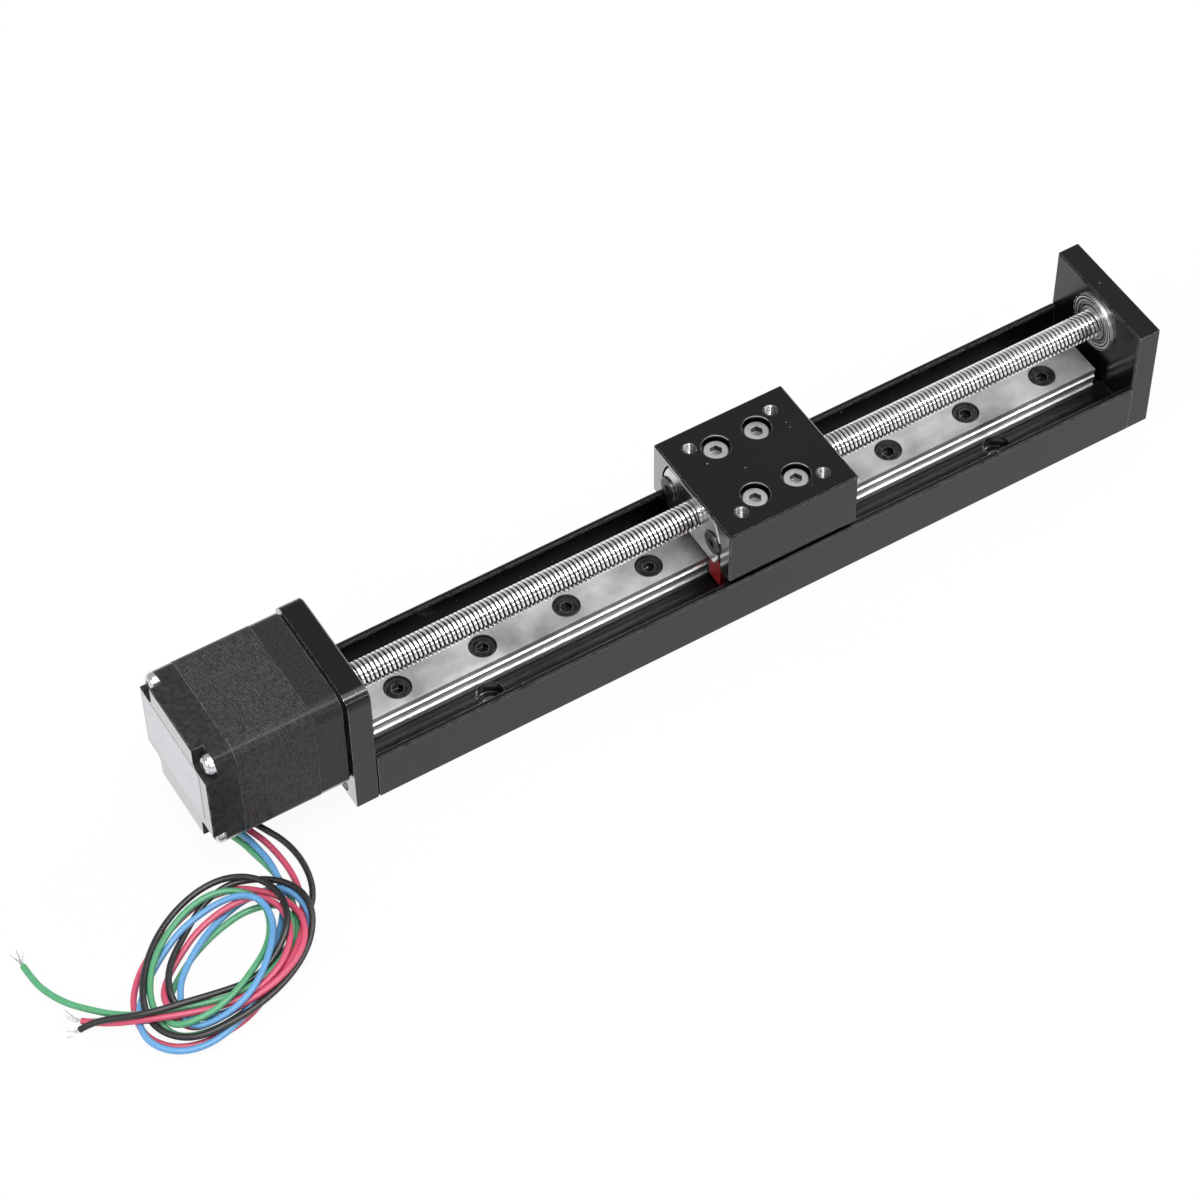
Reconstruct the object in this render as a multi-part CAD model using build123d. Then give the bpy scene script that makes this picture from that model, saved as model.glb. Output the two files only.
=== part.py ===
from build123d import *
from math import cos, pi, radians, sin, tan
import os

# Motorized linear stage, about 230 mm long and 30 mm wide: a 28 mm stepper motor turns a 6 mm
# lead screw, and a flange nut carries a slider along a 9 mm profile rail in a channel base.
# Units are millimetres. X runs along the rail, the motor is at -X, Z is up, and the origin
# is the centre of the base's underside. The slider is modelled 6 mm past mid-travel.

# Running and seating clearances
side_gap = 0.2              # the slider's and plates' sides inside the base's sides
rail_end_gap = 2.0          # between the rail's end and a plate
thread_play = 0.05          # a screw's shank in its tapped hole, on the radius
hole_play = 0.2             # a screw's shank in a clearance hole, on the radius
head_play = 0.1             # a motor screw's head in its counterbore, on the radius
thread_relief = 0.5         # how much deeper a tapped hole is than its screw
seat_play = 0.02            # a bearing ring on its seat, on the radius
nut_play = 0.05             # the nut's bore round the lead screw, on the radius
rail_play = 0.15            # the block and its parts round the rail
slot_play = 0.05            # the rail in the slot of the base, each side
pocket_play = 0.25          # the nut's flange in the slider's pocket
rotor_gap = 0.3             # the rotor inside the stator's bore
part_gap = 0.1              # small parts that lie side by side

# Base: a milled channel with a slot that locates the rail
base_length = 186.0
base_width = 30.0
base_floor = 5.7
base_wall = 1.5
base_height = 12.8
base_edge = 0.3
rail_slot_depth = 1.5
mount_span_x = 126.0
mount_span_y = 16.0
mount_bore = 3.4
mount_counterbore = 6.0
mount_counterbore_depth = 3.3

# Profile rail and its screws
rail_width = 9.0
rail_height = 6.5
rail_pitch = 20.0
rail_end_margin = 6.0       # least distance from a hole's centre to the rail's end
rail_counterbore = 6.0
rail_counterbore_depth = 3.5
rail_groove_radius = 0.75
rail_groove_height = 4.95
rail_groove_offset = 0.35   # of the groove's centre outside the rail's side, in radii
rail_waist = 0.3
rail_waist_height = 3.9

# Ball block on the rail: a steel body between two end caps and two wipers
block_width = 20.0
block_height = 10.0         # from the rail's seat to the block's top
block_under = 2.0           # from the rail's seat to the block's underside
block_length = 28.9         # over the wipers
block_cap_length = 3.0
block_seal_length = 0.9
block_seal_inset = 0.4
block_edge = 0.4
block_cap_inset = 0.2
ball_radius = 0.6
balls_in_row = 9

# Slider, the plate that the user bolts to
slider_rest = 6.0           # its place along X as modelled
slider_length = 31.5
slider_height = 14.2
slider_edge = 0.3
slider_bolt_x = 10.0
slider_bolt_y = 15.0
slider_counterbore = 6.4
slider_counterbore_depth = 4.2
slider_bolt_length = 12.0
slider_tap_span = 20.0
slider_tap_depth = 5.5

# Lead screw and flange nut
axis_height = 20.7
screw_diameter = 6.0
screw_end_chamfer = 0.5
nut_flange = 22.2
nut_flats = 13.0
nut_flange_thickness = 4.0
nut_body = 10.0
nut_length = 15.0
nut_screw_span = 17.0
nut_screw_length = 6.0
nut_screw_recess = 1.2
nut_edge = 0.3

# Plates at the two ends of the base
plate_thickness = 5.3
end_plate_height = 28.6
motor_plate_height = 34.8
motor_plate_corner = 3.0
plate_edge = 0.3
plate_screw_span = 18.0
plate_screw_height = 2.75
plate_screw_length = 8.0
screw_passage = 10.0        # the hole in the motor plate that the lead screw passes

# Flanged ball bearing in the end plate
end_bearing_od = 12.0
end_bearing_width = 4.0
end_bearing_flange = 13.2
end_bearing_flange_thickness = 0.8
end_bearing_exit = 9.0
end_bearing_balls = 8
flange_root = 0.5           # how far the flange reaches into the ring behind it
shield_thickness = 0.25
shield_play = 0.01          # the shield in the outer ring, on the radius
ball_share = 0.3            # how deep a ball sits in each ring, in ring thicknesses

# Stepper motor
motor_side = 28.2
motor_corner = 3.5
motor_front_length = 7.1
motor_stack_length = 17.0
motor_rear_length = 7.0
motor_front_edge = 0.8      # the front cap's bevel against the plate
motor_edge = 0.2
motor_bolt_span = 23.0
motor_pilot = 22.0
motor_pilot_height = 2.0
motor_pilot_gap = 0.2
motor_cavity = 25.2         # the round space in the caps that the coil ends reach into
motor_cavity_depth = 1.6
shaft_diameter = 5.0
shaft_hole = 7.0
motor_bearing_od = 11.0
motor_bearing_width = 4.0
motor_bearing_balls = 7
bearing_ring = 1.1          # radial thickness of each ring
stator_bore = 17.0
stator_poles = 8
pole_width = 3.0
pole_shoe = 0.9
pole_shoe_reach = 1.0       # how far a shoe stands out on each side of its pole
pole_root = 0.3             # how far a pole reaches into the frame round it
shoe_depth = 0.6            # of a shoe before the bore trims it
coil_overhang = 1.2
coil_thickness = 1.3
coil_inset = 0.5            # from the coils to the wall of the motor's cavity
rotor_cup_length = 6.5
rotor_magnet_length = 2.0
magnet_inset = 1.0          # the magnet inside the cups, on the radius
case_screw_recess = 2.7     # depth of the corner notches that hold the case screws' heads
case_screw_notch = 2.7      # from a case screw's centre to the notch's walls
case_notch_corner = 1.4
case_screw_reach = 3.0      # how far the case screws run into the front cap
washer_thickness = 0.3
washer_width = 1.5

# Leads of the motor
lead_diameter = 1.4
lead_pitch = 1.5
lead_count = 4
grommet_width = 2.6
grommet_lip = 0.6
grommet_lip_width = 0.5
grommet_edge = 0.4
grommet_wall = 0.2          # round the outer leads
lead_bend = 0.45            # a bend's share of the shorter run beside it
coil_ring_height = 4.4
coil_ring_centre = (-139.8, -32.6)
coil_ring_tilt = 28.0       # degrees from X to the ring's long axis
coil_ring_outer = (23.5, 15.5)
coil_ring_inner = (12.5, 5.5)
coil_ring_round = 0.35      # its edge radius, in ring heights

# Cap screws: thread, head diameter, head height, hexagon across flats
m3 = (3.0, 5.5, 3.0, 2.5)
m25 = (2.5, 4.5, 2.5, 2.0)
m3_low = (3.0, 5.5, 1.7, 2.0)
m25_pan = (2.5, 4.6, 1.8, 0.0)
head_edge = 0.04            # a cap screw's edge, in head diameters
socket_depth = 0.55         # in head heights
pan_round = 0.7             # a pan head's edge radius, in head heights
cross_width = 0.16          # an arm of the cross recess, in head diameters
cross_reach = 0.56          # the cross from tip to tip, in head diameters
rail_screw_length = 6.0
motor_screw_length = 6.0

# Places worked out from the sizes above
slider_width = base_width - 2 * side_gap
plate_width = base_width - 2 * side_gap
rail_length = base_length - 2 * rail_end_gap
rail_holes = int((rail_length - 2 * rail_end_margin) / rail_pitch) + 1
rail_seat = base_floor - rail_slot_depth
rail_top = rail_seat + rail_height
block_top = rail_seat + block_height
slider_top = block_top + slider_height
slider_left = slider_rest - slider_length / 2
slider_right = slider_rest + slider_length / 2
base_end = base_length / 2
plate_outer = base_end + plate_thickness
motor_front = -plate_outer
stack_front = motor_front - motor_front_length
stack_rear = stack_front - motor_stack_length
motor_rear = stack_rear - motor_rear_length
motor_half = motor_side / 2
motor_bottom = axis_height - motor_half
rail_hole_places = [(i - (rail_holes - 1) / 2) * rail_pitch for i in range(rail_holes)]


def block(x0, x1, y0, y1, z0, z1):
    """A block between two opposite corners."""
    centre = ((x0 + x1) / 2, (y0 + y1) / 2, (z0 + z1) / 2)
    return Pos(*centre) * Box(x1 - x0, y1 - y0, z1 - z0)


def round_bar(diameter, x0, x1, y=0.0, z=axis_height):
    """A cylinder along X, on the screw's axis unless told otherwise."""
    return Pos((x0 + x1) / 2, y, z) * Rot(0, 90, 0) * Cylinder(diameter / 2, abs(x1 - x0))


def tube(outer, inner, x0, x1):
    """A ring or sleeve round the screw's axis."""
    return round_bar(outer, x0, x1) - round_bar(inner, x0, x1)


def post(diameter, x, y, z0, z1):
    """A cylinder that stands along Z."""
    return Pos(x, y, (z0 + z1) / 2) * Cylinder(diameter / 2, z1 - z0)


def rounded_bar(side_y, side_z, corner, x0, x1, z=axis_height):
    """A bar along X with a rounded rectangular section."""
    section = Plane.YZ * RectangleRounded(side_y, side_z, corner)
    return Pos(x0, 0, z) * extrude(section, x1 - x0)


def square_places(span_a, span_b):
    """The four corners of a rectangle round the origin."""
    return [(a * span_a / 2, b * span_b / 2) for a in (-1, 1) for b in (-1, 1)]


def cap_screw(kind, length):
    """A socket screw with its head's seat at Z = 0 and its shank below."""
    thread, head, height, hexagon = kind
    screw = Pos(0, 0, height / 2) * Cylinder(head / 2, height)
    rim = screw.edges().group_by(Axis.Z)[-1]
    screw = chamfer(rim, head_edge * head)
    screw += Pos(0, 0, -length / 2) * Cylinder(thread / 2, length)
    if hexagon:
        depth = height * socket_depth
        socket = extrude(RegularPolygon(hexagon / 2, 6, major_radius=False), depth)
        screw -= Pos(0, 0, height - depth) * socket
    return screw


def pan_screw(kind, length):
    """A cross-recessed screw with a domed head, seated at Z = 0."""
    thread, head, height, _ = kind
    screw = Pos(0, 0, height / 2) * Cylinder(head / 2, height)
    screw = fillet(screw.edges().group_by(Axis.Z)[-1], height * pan_round)
    screw += Pos(0, 0, -length / 2) * Cylinder(thread / 2, length)
    arm = head * cross_width
    for turn in (0, 90):
        slot = Box(head * cross_reach, arm, height)
        screw -= Pos(0, 0, height) * Rot(0, 0, turn) * slot
    return screw


def group(solids):
    """Identical pieces that share one node as separate solids."""
    return Compound(children=list(solids))


def facing(direction, x, y, z, screw):
    """A screw whose head points along +X or -X."""
    turn = 90 if direction > 0 else -90
    return Pos(x, y, z) * Rot(0, turn, 0) * screw


parts = {}


def make_base():
    body = block(-base_end, base_end, -base_width / 2, base_width / 2, 0, base_height)
    inner = base_width / 2 - base_wall
    body -= block(-base_end, base_end, -inner, inner, base_floor, base_height)
    slot = rail_width / 2 + slot_play
    body -= block(-base_end, base_end, -slot, slot, rail_seat, base_floor)
    long_edges = body.edges().filter_by(Axis.X)
    body = chamfer(long_edges.group_by(Axis.Z)[-1] + long_edges.group_by(Axis.Z)[0], base_edge)
    for x in rail_hole_places:
        body -= post(m3[0] + 2 * thread_play, x, 0, 0, rail_seat)
    for x, y in square_places(mount_span_x, mount_span_y):
        body -= post(mount_bore, x, y, 0, base_floor)
        body -= post(mount_counterbore, x, y, base_floor - mount_counterbore_depth, base_floor)
    depth = plate_screw_length - plate_thickness + m25[2] + thread_relief
    for side in (-1, 1):
        for y in (-plate_screw_span / 2, plate_screw_span / 2):
            tapped = m25[0] + 2 * thread_play
            body -= round_bar(tapped, side * (base_end - depth), side * base_end, y, plate_screw_height)
    return body


def rail_section():
    """The rail's profile: a ball groove on each side above a slightly narrower waist."""
    half = rail_width / 2
    outline = Rectangle(rail_width, rail_height, align=(Align.CENTER, Align.MIN))
    waist = Rectangle(rail_waist, rail_waist_height - rail_slot_depth, align=(Align.MAX, Align.MIN))
    outline -= Pos(half, rail_slot_depth) * waist
    outline -= Pos(-half + rail_waist, rail_slot_depth) * waist
    offset = rail_groove_radius * rail_groove_offset
    for side in (-1, 1):
        outline -= Pos(side * (half + offset), rail_groove_height) * Circle(rail_groove_radius)
    return outline


def make_rail():
    section = Plane.YZ * rail_section()
    rail = Pos(-rail_length / 2, 0, rail_seat) * extrude(section, rail_length)
    for x in rail_hole_places:
        rail -= post(m3[0] + 2 * hole_play, x, 0, rail_seat, rail_top)
        rail -= post(rail_counterbore, x, 0, rail_top - rail_counterbore_depth, rail_top)
    return rail


def make_rail_screws():
    seat = rail_top - rail_counterbore_depth
    return group(Pos(x, 0, seat) * cap_screw(m3, rail_screw_length) for x in rail_hole_places)


def plate_screw_holes(plate, side):
    """Counterbored holes for the screws that hold a plate to the base's end."""
    sink = m25[2]
    for y in (-plate_screw_span / 2, plate_screw_span / 2):
        z = plate_screw_height
        plate -= round_bar(m25[0] + 2 * hole_play, side * base_end, side * plate_outer, y, z)
        head = m25[1] + 2 * hole_play
        plate -= round_bar(head, side * (plate_outer - sink), side * plate_outer, y, z)
    return plate


def make_plate_screws(side):
    seat = side * (plate_outer - m25[2])
    places = (-plate_screw_span / 2, plate_screw_span / 2)
    screw = cap_screw(m25, plate_screw_length)
    return group(facing(side, seat, y, plate_screw_height, screw) for y in places)


def make_motor_plate():
    half = plate_width / 2
    plate = block(-plate_outer, -base_end, -half, half, 0, motor_plate_height)
    top_corners = plate.edges().filter_by(Axis.X).group_by(Axis.Z)[-1]
    plate = fillet(top_corners, motor_plate_corner)
    plate = chamfer(plate.faces().sort_by(Axis.X)[-1].edges(), plate_edge)
    plate -= round_bar(screw_passage, -plate_outer, -base_end)
    recess = motor_pilot_height + motor_pilot_gap
    plate -= round_bar(motor_pilot + motor_pilot_gap, -plate_outer, -plate_outer + recess)
    for y, z in square_places(motor_bolt_span, motor_bolt_span):
        height = axis_height + z
        plate -= round_bar(m25[0] + 2 * hole_play, -plate_outer, -base_end, y, height)
        plate -= round_bar(m25[1] + 2 * head_play, -base_end - m25[2], -base_end, y, height)
    return plate_screw_holes(plate, -1)


def make_motor_screws():
    screw = cap_screw(m25, motor_screw_length)
    seat = -base_end - m25[2]
    corners = square_places(motor_bolt_span, motor_bolt_span)
    return group(facing(1, seat, y, axis_height + z, screw) for y, z in corners)


def make_end_plate():
    half = plate_width / 2
    plate = block(base_end, plate_outer, -half, half, 0, end_plate_height)
    plate = chamfer(plate.faces().sort_by(Axis.X)[0].edges(), plate_edge)
    pocket = end_bearing_width - end_bearing_flange_thickness
    plate -= round_bar(end_bearing_od + 2 * seat_play, base_end, base_end + pocket)
    plate -= round_bar(end_bearing_exit, base_end, plate_outer)
    return plate_screw_holes(plate, 1)


def ring_radii(bore, od):
    """The middle radii of a bearing: outside of the inner ring, inside of the outer ring."""
    return bore / 2 + bearing_ring, od / 2 - bearing_ring


def make_bearing(bore, od, width, x0, balls, name):
    """Outer ring, inner ring and balls of a bearing that starts at x0 and runs towards +X."""
    inner_r, outer_r = ring_radii(bore, od)
    middle = (inner_r + outer_r) / 2
    x1 = x0 + width
    centre = (x0 + x1) / 2
    ball_r = (outer_r - inner_r) / 2 + bearing_ring * ball_share
    race = Pos(centre, 0, axis_height) * Rot(0, 90, 0) * Torus(middle, ball_r + part_gap / 2)
    outer = tube(od, 2 * outer_r, x0, x1) - race
    inner = tube(2 * inner_r, bore + 2 * seat_play, x0, x1) - race
    spheres = []
    for i in range(balls):
        turn = 2 * pi * i / balls
        place = Pos(centre, middle * cos(turn), axis_height + middle * sin(turn))
        spheres.append(place * Sphere(ball_r))
    parts[name + "_outer_ring"] = outer
    parts[name + "_inner_ring"] = inner
    parts[name + "_balls"] = group(spheres)


def make_end_bearing():
    face = base_end - end_bearing_flange_thickness
    make_bearing(screw_diameter, end_bearing_od, end_bearing_width, face, end_bearing_balls, "end_bearing")
    flange = tube(end_bearing_flange, end_bearing_od - 2 * flange_root, face, base_end)
    parts["end_bearing_outer_ring"] += flange
    inner_r, outer_r = ring_radii(screw_diameter, end_bearing_od)
    shields = []
    for x in (face + part_gap, face + end_bearing_width - part_gap - shield_thickness):
        shields.append(tube(2 * (outer_r - shield_play), 2 * inner_r + 4 * part_gap, x, x + shield_thickness))
    parts["end_bearing_shields"] = group(shields)


def motor_bar(x0, x1):
    return rounded_bar(motor_side, motor_side, motor_corner, x0, x1)


def case_screw_holes(body, diameter, x0, x1):
    for y, z in square_places(motor_bolt_span, motor_bolt_span):
        body -= round_bar(diameter, x0, x1, y, axis_height + z)
    return body


def make_front_cap():
    cap = motor_bar(stack_front, motor_front)
    cap = chamfer(cap.faces().sort_by(Axis.X)[-1].edges(), motor_front_edge)
    cap += round_bar(motor_pilot, motor_front, motor_front + motor_pilot_height)
    cap -= round_bar(motor_cavity, stack_front, stack_front + motor_cavity_depth)
    bearing_end = stack_front + motor_cavity_depth + motor_bearing_width
    cap -= round_bar(motor_bearing_od + 2 * seat_play, stack_front, bearing_end)
    cap -= round_bar(shaft_hole, stack_front, motor_front + motor_pilot_height)
    return case_screw_holes(cap, m25[0] + 2 * thread_play, stack_front, motor_front)


def make_stator():
    """The lamination stack: a square frame with poles that point at the rotor."""
    stack = motor_bar(stack_rear, stack_front)
    stack -= round_bar(motor_cavity, stack_rear, stack_front)
    outer = motor_cavity / 2
    inner = stator_bore / 2
    for i in range(stator_poles):
        turn = Pos(0, 0, axis_height) * Rot(360 / stator_poles * (i + 0.5), 0, 0)
        pole = block(stack_rear, stack_front, -pole_width / 2, pole_width / 2, inner, outer + pole_root)
        reach = pole_width / 2 + pole_shoe_reach
        shoe = block(stack_rear, stack_front, -reach, reach, inner - shoe_depth, inner + pole_shoe)
        stack += turn * (pole + shoe)
    stack -= round_bar(stator_bore, stack_rear, stack_front)
    return case_screw_holes(stack, m25[0] + 2 * hole_play, stack_rear, stack_front)


def make_windings():
    """One coil round each pole."""
    inner = stator_bore / 2 + pole_shoe + part_gap
    outer = motor_cavity / 2 - coil_inset
    x0 = stack_rear - coil_overhang
    x1 = stack_front + coil_overhang
    half = pole_width / 2 + part_gap
    wound = half + coil_thickness
    coil = block(x0, x1, -wound, wound, inner, outer)
    coil -= block(stack_rear - part_gap, stack_front + part_gap, -half, half, inner, outer)
    coils = []
    for i in range(stator_poles):
        coils.append(Pos(0, 0, axis_height) * Rot(360 / stator_poles * (i + 0.5), 0, 0) * coil)
    return group(coils)


def lead_places():
    """Where the leads leave the motor, from the rearmost to the foremost."""
    middle = grommet_middle()
    return [middle + (i - (lead_count - 1) / 2) * lead_pitch for i in range(lead_count)]


def grommet_length():
    return lead_pitch * (lead_count - 1) + lead_diameter + 2 * grommet_wall


def grommet_middle():
    return stack_rear - grommet_length() / 2 - part_gap


def make_rear_cap():
    cap = motor_bar(motor_rear, stack_rear)
    cap = chamfer(cap.faces().sort_by(Axis.X)[0].edges(), motor_edge)
    cap -= round_bar(motor_cavity, stack_rear - motor_cavity_depth, stack_rear)
    bearing_rear = stack_rear - motor_cavity_depth - motor_bearing_width - washer_thickness
    cap -= round_bar(motor_bearing_od + 2 * seat_play, bearing_rear, stack_rear)
    cap = case_screw_holes(cap, m25[0] + 2 * hole_play, motor_rear, stack_rear)
    inner = motor_bolt_span / 2 - case_screw_notch
    recess_end = motor_rear + case_screw_recess
    notch = block(motor_rear, recess_end, inner, motor_half, inner, motor_half)
    nearest = notch.edges().filter_by(Axis.X).sort_by_distance((motor_rear, 0, 0))[0]
    notch = fillet(nearest, case_notch_corner)
    for quarter in range(4):
        cap -= Pos(0, 0, axis_height) * Rot(90 * quarter, 0, 0) * notch
    length = grommet_length() / 2 + part_gap
    half = grommet_width / 2 + part_gap
    middle = grommet_middle()
    cavity_bottom = axis_height - motor_cavity / 2
    cap -= block(middle - length, middle + length, -half, half, motor_bottom, cavity_bottom + 1)
    return cap


def make_case_screws():
    seat = motor_rear + case_screw_recess
    length = stack_front + case_screw_reach - seat
    screw = pan_screw(m25_pan, length)
    corners = square_places(motor_bolt_span, motor_bolt_span)
    return group(facing(-1, seat, y, axis_height + z, screw) for y, z in corners)


def make_motor_bearings():
    bore = shaft_diameter
    front = stack_front + motor_cavity_depth
    rear = stack_rear - motor_cavity_depth - motor_bearing_width
    for x0, name in ((front, "front_bearing"), (rear, "rear_bearing")):
        make_bearing(bore, motor_bearing_od, motor_bearing_width, x0, motor_bearing_balls, name)
    washer_rear = rear - washer_thickness
    outside = motor_bearing_od - 2 * part_gap
    parts["preload_washer"] = tube(outside, outside - 2 * washer_width, washer_rear, rear)


def make_rotor():
    """Two toothed iron cups with a magnet between them, pressed on the shaft."""
    outside = stator_bore - 2 * rotor_gap
    middle = (stack_rear + stack_front) / 2
    half = rotor_magnet_length / 2
    bore = shaft_diameter + 2 * seat_play
    cups = []
    for side in (-1, 1):
        cups.append(tube(outside, bore, middle + side * half, middle + side * (half + rotor_cup_length)))
    parts["rotor_cups"] = group(cups)
    parts["rotor_magnet"] = tube(outside - 2 * magnet_inset, bore, middle - half, middle + half)


def make_lead_screw():
    """The screw and the motor's shaft in one piece; the thread is drawn plain."""
    shoulder = motor_front + motor_pilot_height
    tail = base_end + end_bearing_width - end_bearing_flange_thickness
    thread = round_bar(screw_diameter, shoulder, tail)
    thread = chamfer(thread.faces().sort_by(Axis.X)[-1].edges(), screw_end_chamfer)
    shaft_rear = stack_rear - motor_cavity_depth - motor_bearing_width
    return thread + round_bar(shaft_diameter, shaft_rear, shoulder)


def nut_flange_outline(radius, half_flats, x0, x1):
    """A disc with its top and bottom cut flat."""
    disc = round_bar(2 * radius, x0, x1)
    return disc & block(x0, x1, -radius, radius, axis_height - half_flats, axis_height + half_flats)


def nut_screw_places():
    return (-nut_screw_span / 2, nut_screw_span / 2)


def make_nut():
    flange_end = slider_left + nut_flange_thickness
    nut = nut_flange_outline(nut_flange / 2, nut_flats / 2, slider_left, flange_end)
    nut = chamfer(nut.faces().sort_by(Axis.X)[0].edges(), nut_edge)
    nut += round_bar(nut_body, flange_end, slider_left + nut_length)
    nut -= round_bar(screw_diameter + 2 * nut_play, slider_left, slider_left + nut_length)
    for y in nut_screw_places():
        nut -= round_bar(m3_low[0] + 2 * hole_play, slider_left, flange_end, y)
        head = m3_low[1] + 2 * hole_play
        nut -= round_bar(head, slider_left, slider_left + nut_screw_recess, y)
    return nut


def make_nut_screws():
    seat = slider_left + nut_screw_recess
    screw = cap_screw(m3_low, nut_screw_length)
    return group(facing(-1, seat, y, axis_height, screw) for y in nut_screw_places())


def make_slider():
    half = slider_width / 2
    slider = block(slider_left, slider_right, -half, half, block_top, slider_top)
    slider = chamfer(slider.edges(), slider_edge)
    flange_end = slider_left + nut_flange_thickness
    pocket_r = nut_flange / 2 + pocket_play
    pocket = round_bar(2 * pocket_r, slider_left, flange_end)
    pocket += block(slider_left, flange_end, -pocket_r, pocket_r, block_top, axis_height)
    ceiling = axis_height + nut_flats / 2 + pocket_play
    pocket &= block(slider_left, flange_end, -pocket_r, pocket_r, block_top, ceiling)
    slider -= pocket
    slider -= round_bar(nut_body + 2 * part_gap, slider_left, slider_right)
    for y in nut_screw_places():
        end = slider_left + nut_screw_recess + nut_screw_length + thread_relief
        slider -= round_bar(m3_low[0] + 2 * thread_play, slider_left, end, y)
    for x, y in square_places(slider_bolt_x, slider_bolt_y):
        x += slider_rest
        slider -= post(m3[0] + 2 * hole_play, x, y, block_top, slider_top)
        slider -= post(slider_counterbore, x, y, slider_top - slider_counterbore_depth, slider_top)
    for x, y in square_places(slider_tap_span, slider_tap_span):
        slider -= post(m3[0], x + slider_rest, y, slider_top - slider_tap_depth, slider_top)
    return slider


def make_slider_screws():
    seat = slider_top - slider_counterbore_depth
    screw = cap_screw(m3, slider_bolt_length)
    places = square_places(slider_bolt_x, slider_bolt_y)
    return group(Pos(x + slider_rest, y, seat) * screw for x, y in places)


def rail_tunnel(x0, x1, play):
    """The space that the rail needs inside the block, open downwards."""
    half = rail_width / 2 + play
    return block(x0, x1, -half, half, rail_seat, rail_top + play)


def block_bar(x0, x1, inset):
    half = block_width / 2 - inset
    bar = block(x0, x1, -half, half, rail_seat + block_under + inset, block_top - inset)
    return bar - rail_tunnel(x0, x1, rail_play)


def ball_rows():
    """Places of the loaded balls, in a row on each side of the rail."""
    body = block_length - 2 * (block_cap_length + block_seal_length)
    step = body / balls_in_row
    offset = rail_groove_radius * rail_groove_offset
    y = rail_width / 2 + offset
    z = rail_seat + rail_groove_height
    for side in (-1, 1):
        for i in range(balls_in_row):
            yield slider_rest - body / 2 + step * (i + 0.5), side * y, z


def make_ball_block():
    end = block_length / 2 - block_seal_length
    body_end = end - block_cap_length
    x0 = slider_rest - body_end
    x1 = slider_rest + body_end
    steel = block_bar(x0, x1, 0)
    upper = steel.edges().filter_by(Axis.X).group_by(Axis.Z)[0]
    steel = chamfer(upper, block_edge / 2)
    groove_y = rail_width / 2 + rail_groove_radius * rail_groove_offset
    groove = 2 * (ball_radius + part_gap)
    for side in (-1, 1):
        steel -= round_bar(groove, x0, x1, side * groove_y, rail_seat + rail_groove_height)
    for x, y in square_places(slider_bolt_x, slider_bolt_y):
        depth = slider_bolt_length - (slider_top - slider_counterbore_depth - block_top) + thread_relief
        steel -= post(m3[0] + 2 * thread_play, x + slider_rest, y, block_top - depth, block_top)
    parts["block_body"] = steel
    for side, name in ((-1, "motor_side"), (1, "far_side")):
        a = slider_rest + side * body_end
        b = slider_rest + side * end
        c = slider_rest + side * block_length / 2
        parts["block_cap_" + name] = block_bar(min(a, b), max(a, b), block_cap_inset)
        parts["block_wiper_" + name] = block_bar(min(b, c), max(b, c), block_seal_inset)
    parts["block_balls"] = group(Pos(*place) * Sphere(ball_radius) for place in ball_rows())


def make_grommet():
    """The moulded outlet of the leads in the rear cap's underside."""
    half = grommet_length() / 2
    middle = grommet_middle()
    top = axis_height - motor_cavity / 2
    body = block(middle - half, middle + half, -grommet_width / 2, grommet_width / 2, motor_bottom, top)
    lip_y = grommet_width / 2 + grommet_lip_width
    lip = block(middle - half, middle + half, -lip_y, lip_y, motor_bottom - grommet_lip, motor_bottom)
    return fillet((body + lip).edges().filter_by(Axis.X).group_by(Axis.Z)[0], grommet_edge)


def lead_exits():
    return [(x, 0.0, motor_bottom - grommet_lip) for x in lead_places()]


# Routes of the leads, outlet to ring and ring to bared end, in the order of the outlet's holes
lead_names = ("green", "blue", "red", "black")
lead_drop = {
    "green": [(-127.9, 0.0, 4.2), (-127.3, -1.9, 2.2), (-125.6, -5.0, 1.2), (-123.6, -9.0, 0.9),
              (-122.3, -14.0, 0.9), (-121.7, -19.0, 1.2), (-122.3, -23.5, 1.4)],
    "blue": [(-126.4, 0.0, 4.2), (-125.65, -1.9, 2.2), (-124.0, -5.0, 1.2), (-121.6, -9.2, 0.9),
             (-120.5, -14.4, 0.9), (-119.9, -19.6, 1.2), (-120.7, -24.4, 1.4)],
    "red": [(-124.9, 0.0, 4.2), (-123.95, -1.9, 2.2), (-121.95, -5.0, 1.2), (-119.2, -9.6, 0.9),
            (-117.7, -15.4, 0.9), (-117.3, -21.4, 0.9), (-118.3, -27.4, 1.2), (-121.2, -32.4, 1.4)],
    "black": [(-123.4, 0.0, 4.2), (-122.2, -1.9, 2.2), (-119.9, -5.0, 1.2), (-116.7, -9.6, 0.9),
              (-114.6, -15.2, 0.9), (-114.0, -21.2, 0.9), (-115.0, -27.2, 0.9), (-117.6, -32.4, 1.2),
              (-122.0, -36.4, 1.4)],
}
lead_tail = {
    "green": [(-152.6, -39.2, 0.9), (-158.4, -36.8, 0.9), (-163.8, -32.8, 0.9), (-168.2, -27.4, 0.9),
              (-171.2, -21.0, 0.9), (-172.4, -13.9, 0.9)],
    "red": [(-152.0, -41.4, 0.9), (-157.6, -39.3, 0.9), (-163.5, -35.5, 0.9), (-169.2, -30.8, 0.9)],
    "black": [(-151.0, -43.6, 0.9), (-156.8, -41.7, 0.9), (-162.6, -38.1, 0.9), (-168.2, -34.0, 0.9)],
    "blue": [(-149.5, -46.0, 0.9), (-155.5, -44.3, 0.9), (-161.2, -41.2, 0.9), (-166.6, -37.4, 0.9)],
}


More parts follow.
